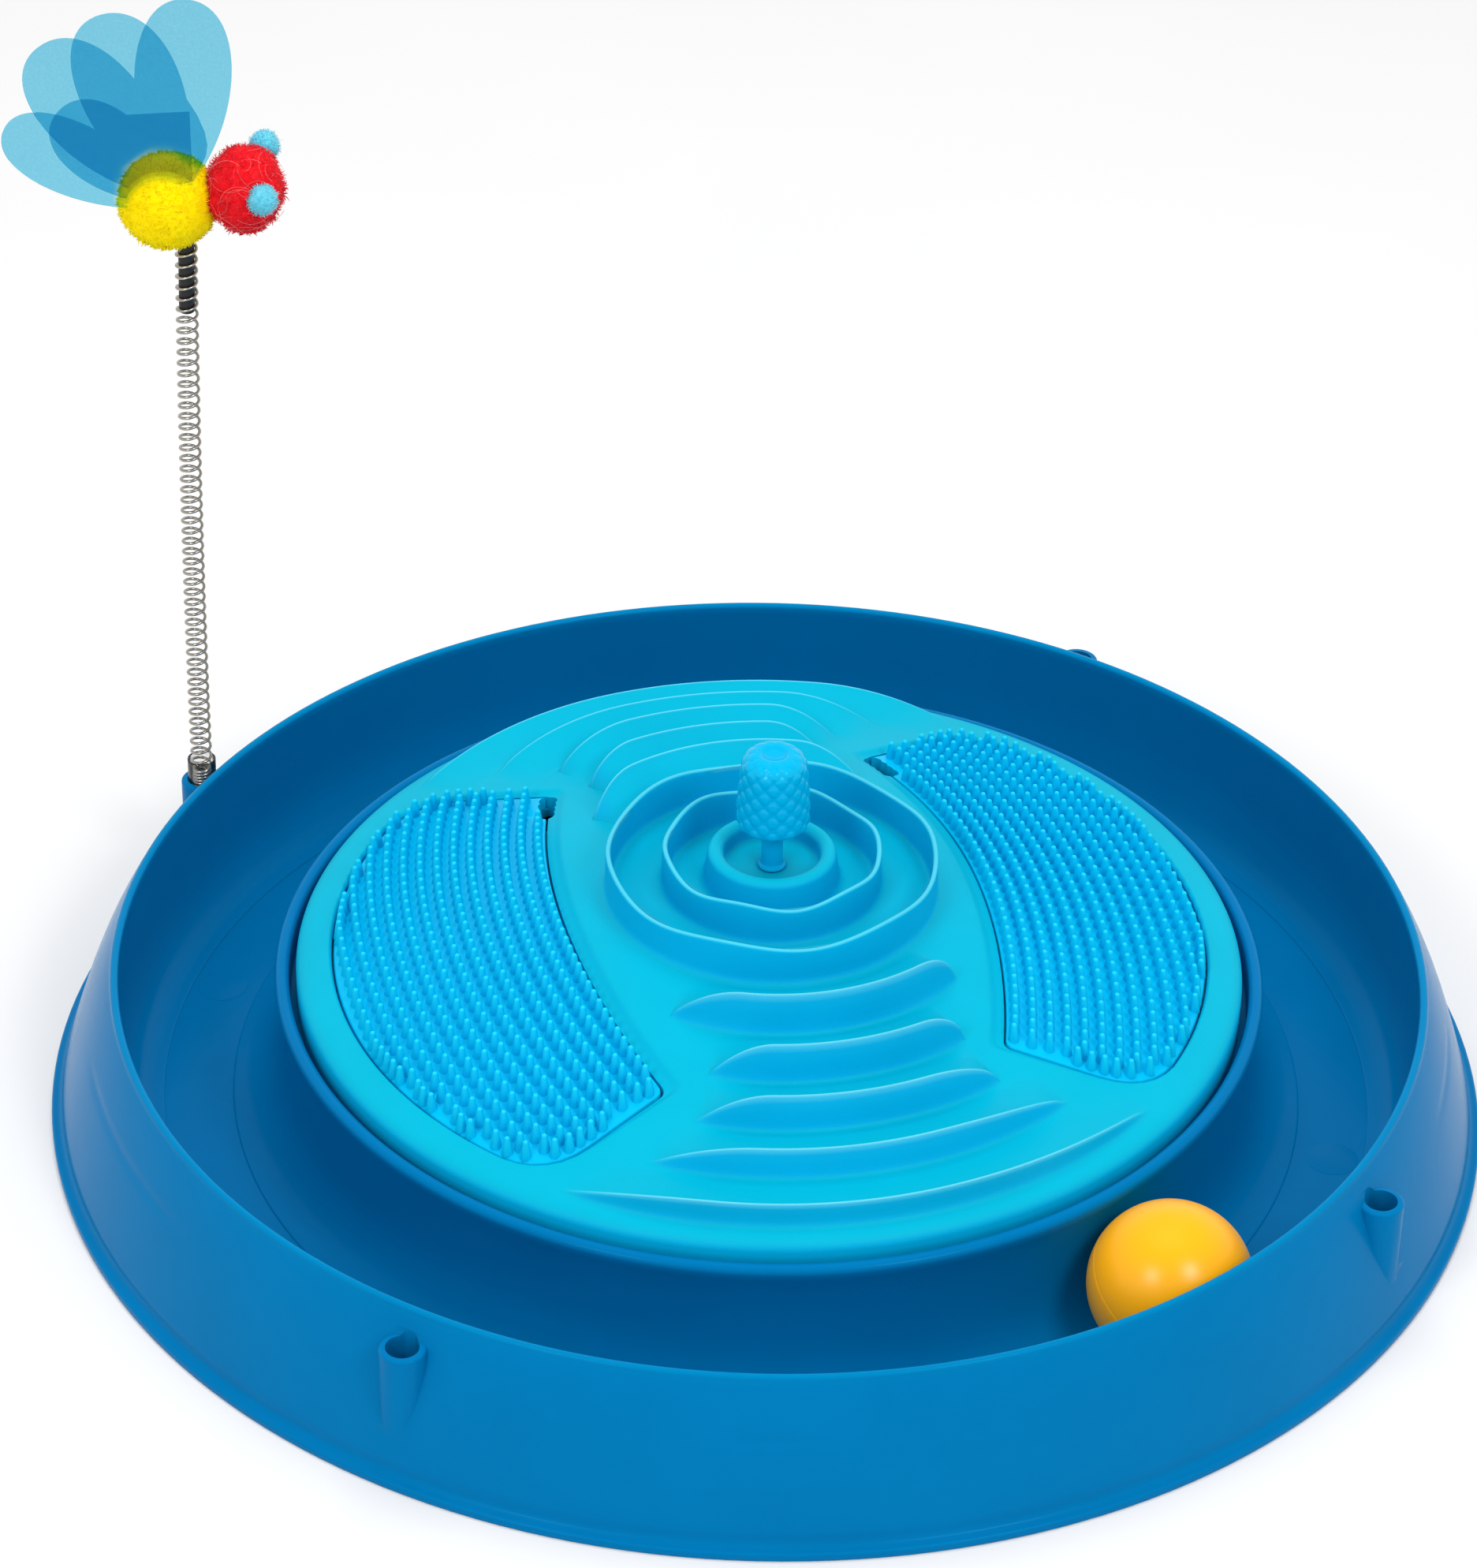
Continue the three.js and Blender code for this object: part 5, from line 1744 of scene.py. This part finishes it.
@dataclass
class SpringWand:
    """Clear sleeve in a socket, the spring wound out of it and the dark plug at its upper end."""

    foot: Vector = at(*polar(TrackBase.socket_radius, TrackBase.socket_azimuths[1]))
    sleeve_low: float = 4.3
    sleeve_top: float = 41.0
    sleeve_radius: float = 3.75
    sleeve_wall: float = 0.5
    coil_radius: float = 2.55
    wire: float = 0.8
    close_start: float = 22.0
    close_end: float = 38.0
    close_pitch: float = 0.9
    open_pitch: float = 3.1
    coil_end: float = 194.0
    lean: float = 2.3
    core_radius: float = 1.95
    core_low: float = 176.0
    core_high: float = 201.0
    core_chamfer: float = 0.4
    core_round: float = 0.5
    core_rib: float = 0.2
    turn_steps: int = 18

    def axis(self, height: float) -> Vector:
        """Point of the wand's middle line at a height."""
        rise = max(0.0, height - self.sleeve_top) / (self.coil_end - self.sleeve_top)
        return Vector((self.foot.x + self.lean * rise**2, self.foot.y, height))

    def leant(self, bm: BMesh) -> BMesh:
        """Moves an upright mesh from the axis onto the wand's leaning line."""
        for vert in bm.verts:
            line = self.axis(vert.co.z)
            vert.co.x += line.x
            vert.co.y += line.y
        return bm

    def sleeve(self) -> BMesh:
        """Tube with a rounded lip."""
        outer, inner = self.sleeve_radius, self.sleeve_radius - self.sleeve_wall
        lip = self.sleeve_wall / 2.0
        line = Outline(inner, self.sleeve_low).line(outer, self.sleeve_low)
        line.line(outer, self.sleeve_top - lip, 6)
        line.arc(outer - lip, self.sleeve_top - lip, lip, 0.0, 180.0, 6)
        return moved(line.turned(40, closed=True), Matrix.Translation(self.foot))

    def coil(self) -> BMesh:
        """Wire wound close in the sleeve and open above it."""
        bm = bmesh.new()
        face_on = Matrix.Translation((self.coil_radius, 0.0, self.close_start))
        face_on = face_on @ Matrix.Rotation(math.radians(90.0), 4, "X")
        ring = bmesh.ops.create_circle(bm, segments=8, radius=self.wire / 2.0, matrix=face_on)
        end = loop_of(ring["verts"])
        bm.faces.new(ring["verts"])
        runs = (
            (self.close_start, self.close_end, self.close_pitch),
            (self.close_end, self.coil_end, self.open_pitch),
        )
        for low, high, pitch in runs:
            turns = (high - low) / pitch
            steps = round(turns * self.turn_steps)
            end = bmesh.ops.spin(
                bm, geom=end, cent=ORIGIN, axis=UP, dvec=UP * ((high - low) / steps),
                angle=math.tau * turns, steps=steps,
            )["geom_last"]
            end = only(end, (BMVert, BMEdge))
        bmesh.ops.contextual_create(bm, geom=only(end, BMEdge))
        return self.leant(faced(bm))

    def core(self) -> BMesh:
        """Ribbed plug that the upper turns grip."""
        reach, start = self.core_radius, self.core_low + self.core_round
        line = Outline(0.0, self.core_low).line(reach - self.core_chamfer, self.core_low)
        line.curve(reach, self.core_low, reach, start, 3)
        count = int((self.core_high - self.core_low - 2.0 * self.core_round) / self.open_pitch)
        for i in range(count):
            low = start + i * self.open_pitch
            high = low + self.open_pitch
            line.curve(reach + self.core_rib, (low + high) / 2.0, reach, high, 6)
        line.line(reach, self.core_high).line(0.0, self.core_high)
        return self.leant(line.turned(24))

    def build(self) -> None:
        """Models and dresses the sleeve, coil and core."""
        sleeve = Tag("sleeve_tube", Body.WAND, Slot.CLEAR, ("wand_sleeve",))
        finished(self.sleeve(), sleeve, Finishes.CLEAR)
        start = self.axis(self.sleeve_top)
        bend = Bend(Body.TIP, start, start + UP * (self.core_low - self.sleeve_top))
        coil = Tag("spring_coil", Body.WAND, Slot.STEEL, ("wand_spring",), bend=bend, sharp=70.0)
        finished(self.coil(), coil, Finishes.STEEL)
        core = Tag("core_plug", Body.TIP, Slot.CORE, ("spring_core",), sharp=60.0)
        finished(self.core(), core, Finishes.CORE)


@dataclass(frozen=True)
class FeltBall:
    """Fuzzy wool ball: size, place, lumps and the length of its fibres."""

    name: str
    node: str
    slot: Slot
    finish: FeltFinish
    centre: Vector
    size: Vector
    detail: int
    lump: float
    lump_scale: float
    fibre: float
    density: float
    seed: int
    sink: float = 0.35
    inset: float = 0.3
    tapers: tuple[float, ...] = (0.8, 0.35)
    comb: float = 1.2
    comb_scale: float = 4.5
    loose: float = 0.6
    long: float = 1.6
    long_share: float = 0.1
    lengths: tuple[float, float] = (0.3, 0.65)
    rise: tuple[float, float] = (0.7, -0.25)
    sweep: tuple[float, float] = (0.6, 0.3)

    def core(self) -> BMesh:
        """Lumpy closed ball that the fibres grow from."""
        bm = bmesh.new()
        bmesh.ops.create_icosphere(bm, subdivisions=self.detail, radius=1.0)
        for vert in bm.verts:
            out = vert.co.normalized()
            radius = Vector((out.x * self.size.x, out.y * self.size.y, out.z * self.size.z)) / 2.0
            spot = radius / self.lump_scale + Vector((self.seed, 0.0, 0.0))
            swell = self.lump * noise.noise(spot)
            vert.co = self.centre + radius + out * (swell - self.sink * self.fibre)
        return bm

    def furred(self, bm: BMesh) -> None:
        """Grows fine combed fibres out of some of the faces, now and then a long one."""
        rng = random.Random(self.seed)
        noise.seed_set(self.seed)
        tips = [face for face in bm.faces if rng.random() < self.density]
        inset = self.inset * math.sqrt(sum(face.calc_area() for face in tips) / len(tips))
        bmesh.ops.inset_individual(bm, faces=tips, thickness=inset, use_even_offset=True)
        drift = {}
        for level, taper in enumerate(self.tapers):
            rise, sweep = (start + gain * level for start, gain in (self.rise, self.sweep))
            tips = bmesh.ops.extrude_discrete_faces(bm, faces=tips)["faces"]
            for index, face in enumerate(tips):
                middle = face.calc_center_median()
                out = (middle - self.centre).normalized()
                if not level:
                    flow = middle / self.comb_scale + Vector((0.0, self.seed, 0.0))
                    lean = noise.noise_vector(flow) * self.comb + scatter(rng) * self.loose
                    long = self.long if rng.random() < self.long_share else 1.0
                    drift[index] = (lean, self.fibre * long * rng.uniform(*self.lengths))
                lean, step = drift[index]
                side = lean - out * lean.dot(out)
                shift = (out * rise + side * sweep).normalized() * step
                for vert in face.verts:
                    vert.co = middle + (vert.co - middle) * taper + shift
        faced(bm)

    def build(self) -> None:
        """Models and dresses the ball."""
        bm = self.core()
        self.furred(bm)
        tag = Tag(self.name, Body.TIP, self.slot, (self.node,), sharp=180.0)
        finished(bm, tag, self.finish)


@dataclass(frozen=True)
class Film:
    """Layer of wing film: its place, petals as length, width and angle, and a patch's corners."""

    name: str
    node: str
    layer: int
    petals: tuple[tuple[float, float, float], ...]
    patch: tuple[tuple[float, float], ...] = ()


@dataclass
class FeltInsect:
    """Felt insect on the wand: two wool balls, two small eyes and three layers of wing film."""

    body_centre: Vector = at(-154.13, 79.69, 207.1)
    body_size: Vector = at(25.2, 24.4, 24.4)
    head_offset: Vector = at(19.3, 0.0, 3.9)
    head_size: Vector = at(19.4, 21.4, 22.2)
    eye_size: Vector = at(7.6, 7.6, 7.6)
    near_eye: Vector = at(5.2, -9.0, 1.7)
    far_eye: Vector = at(4.2, 8.6, 7.6)
    film_root: Vector = at(2.7, -6.5, 2.8)
    film: float = 0.3
    film_pitch: float = 1.1
    film_depth: float = 3.1
    # Height and reach of the painted light where the films lie over the felt.
    root_lift: float = 4.4
    root_reach: Vector = at(12.2, 14.0)
    fullness: float = 0.35
    peak: float = 0.75
    curl: float = 0.9
    span: float = 54.2
    # Sharpness of the painted light's edge over the felt.
    root_edge: float = 3.0
    petal_points: int = 33
    cut_reach: int = 60
    cut_pitch: int = 2
    cut_ways: tuple[tuple[float, float, float], ...] = ((-0.6, 0.8, 0.0), (0.8, 0.6, 0.0))
    wisps: int = 120
    wisp_seed: int = 21
    wisp_width: tuple[float, float] = (8.0, 34.0)
    wisp_lift: tuple[float, float] = (0.1, 0.7)
    wisp_turn: tuple[float, float] = (0.8, 2.6)
    wisp_radius: float = 0.04
    films: tuple[Film, ...] = (
        Film("film_far", "wing_far", 1, ((54.2, 23.6, 84.7), (51.4, 26.6, 128.1))),
        Film(
            "film_inner", "wing_inner", 0, ((36.7, 21.2, 138.8),),
            ((4.5, 5.0), (4.5, 25.0), (-16.6, 23.2), (-16.2, 12.0), (-13.0, 5.0)),
        ),
        Film(
            "film_near", "wing_near", -1, ((53.6, 25.7, 106.7), (45.5, 20.2, 154.2)),
            (
                (-2.0, 4.0), (5.0, 7.0), (8.2, 13.7), (8.7, 16.5), (8.2, 20.1), (6.5, 24.8),
                (3.5, 30.2),
            ),
        ),
    )

    def balls(self) -> list[FeltBall]:
        """Body, head and eyes."""
        head = self.body_centre + self.head_offset
        yellow, red, blue = Slot.YELLOW, Slot.RED, Slot.BLUE
        body = (self.body_centre, self.body_size, 5, 0.35, 6.0, 0.9, 0.5, 3)
        face = (head, self.head_size, 5, 0.8, 3.2, 1.1, 0.45, 8)
        near, far = (
            (head + eye, self.eye_size, 4, 0.3, 2.4, 0.9, 0.7, seed)
            for eye, seed in ((self.near_eye, 5), (self.far_eye, 6))
        )
        return [
            FeltBall("felt_body", "bee_body", yellow, Finishes.YELLOW, *body),
            FeltBall("felt_head", "bee_head", red, Finishes.RED, *face),
            FeltBall("felt_eye_near", "bee_eye_near", blue, Finishes.BLUE, *near),
            FeltBall("felt_eye_far", "bee_eye_far", blue, Finishes.BLUE, *far),
        ]

    def stray_wisps(self) -> BMesh:
        """Loose pale hairs that lie round the head."""
        rng = random.Random(self.wisp_seed)
        bm = bmesh.new()
        head = self.body_centre + self.head_offset
        for _ in range(self.wisps):
            axis = scatter(rng).normalized()
            aside = axis.orthogonal().normalized()
            aside.rotate(Matrix.Rotation(rng.uniform(0.0, math.tau), 3, axis))
            width = math.radians(rng.uniform(*self.wisp_width))
            out = axis * math.cos(width) + aside * math.sin(width)
            reach = Vector([way * size for way, size in zip(out, self.head_size)]).length / 2.0
            face_on = axis.cross(aside).to_track_quat("Z", "Y").to_matrix().to_4x4()
            place = head + out * (reach + rng.uniform(*self.wisp_lift))
            start = Matrix.Translation(place) @ face_on
            ring = bmesh.ops.create_circle(bm, segments=3, radius=self.wisp_radius, matrix=start)
            hair, angle = loop_of(ring["verts"]), rng.uniform(*self.wisp_turn)
            bmesh.ops.spin(bm, geom=hair, cent=head, axis=axis, angle=angle, steps=10)
        bmesh.ops.holes_fill(bm, edges=[edge for edge in bm.edges if edge.is_boundary], sides=3)
        return faced(bm)

    def petal(self, length: float, width: float, angle: float) -> BMesh:
        """Flat petal from its root at the origin, cut from film.

        Args:
            length: Length of the petal.
            width: Its greatest width.
            angle: Direction it points in, in degrees.

        Returns:
            The closed film.
        """
        reach = width / 2.0 / self.peak
        sides = []
        for side in (-reach, reach):
            handles = Vector((length * self.fullness, side)), Vector((length, side))
            ends = Vector((0.0, 0.0)), Vector((length, 0.0))
            sides.append(interpolate_bezier(ends[0], *handles, ends[1], self.petal_points))
        bm = plate(sides[0] + sides[1][-2:0:-1], -self.film / 2.0, self.film / 2.0)
        return moved(bm, Matrix.Rotation(math.radians(angle), 4, "Z"))

    def layer(self, film: Film) -> BMesh:
        """Petals of one layer joined at the root, stood up in the felt and curled a little.

        Args:
            film: The layer.

        Returns:
            The closed film in its place.
        """
        parts = [self.petal(*petal) for petal in film.petals]
        if film.patch:
            patch = [Vector(corner) for corner in film.patch]
            parts.append(plate(patch, -self.film / 2.0, self.film / 2.0))
        bm = parts.pop()
        for part in parts:
            bm = fitted(bm, part, Fit.JOIN)
        for normal in map(Vector, self.cut_ways):
            for cut in range(-self.cut_reach, self.cut_reach + self.cut_pitch, self.cut_pitch):
                bmesh.ops.bisect_plane(bm, geom=all_of(bm), plane_co=normal * cut, plane_no=normal)
        for vert in bm.verts:
            away = math.hypot(vert.co.x, vert.co.y) / self.span
            vert.co.z -= film.layer * self.curl * away**2
        place = self.body_centre + self.film_root + Vector((0.0, film.layer * self.film_pitch, 0.0))
        moved(bm, Matrix.Translation(place) @ Matrix.Rotation(math.radians(90.0), 4, "X"))
        felt = bmesh.new()
        size = Matrix.Diagonal([side / 2.0 - self.film_depth for side in self.body_size] + [1.0])
        bmesh.ops.create_icosphere(
            felt, subdivisions=4, radius=1.0, matrix=Matrix.Translation(self.body_centre) @ size
        )
        return fitted(bm, felt, Fit.CUT)

    def over_felt_light(self, place: Vector) -> float:
        """Share of the paler painted tint at a point of a film: painted light where it stands in
        front of the felt.
        """
        away = place - self.body_centre - Vector((0.0, 0.0, self.root_lift))
        across, rise = away.x / self.root_reach.x, away.z / self.root_reach.y
        return smooth_step(self.root_edge * (1.0 - across**2 - rise**2))

    def build(self) -> None:
        """Models and dresses the insect."""
        for ball in self.balls():
            ball.build()
        wisps = Tag("head_wisps", Body.TIP, Slot.RED, sharp=180.0)
        finished(self.stray_wisps(), wisps, Finishes.WISP)
        for film in self.films:
            tag = Tag(film.name, Body.TIP, Slot.FILM, (film.node,), painted_light_share=self.over_felt_light, sharp=30.0)
            finished(self.layer(film), tag, Finishes.FILM)


def main() -> None:
    """Builds the set and the toy."""
    logging.basicConfig(level=logging.INFO, format="%(message)s")
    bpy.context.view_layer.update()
    left, right = PAD_TURNS
    parts = (
        Studio(),
        TrackBase(),
        TrackBall(),
        MassagerPanel(),
        BristlePad("left_bristles", "left_bristle_pad", Body.LEFT_PAD, *left),
        BristlePad("right_bristles", "right_bristle_pad", Body.RIGHT_PAD, *right),
        ChewKnob(),
        SpringWand(),
        FeltInsect(),
    )
    for part in parts:
        LOG.info("building %s", type(part).__name__)
        part.build()


if __name__ == "__main__":
    main()
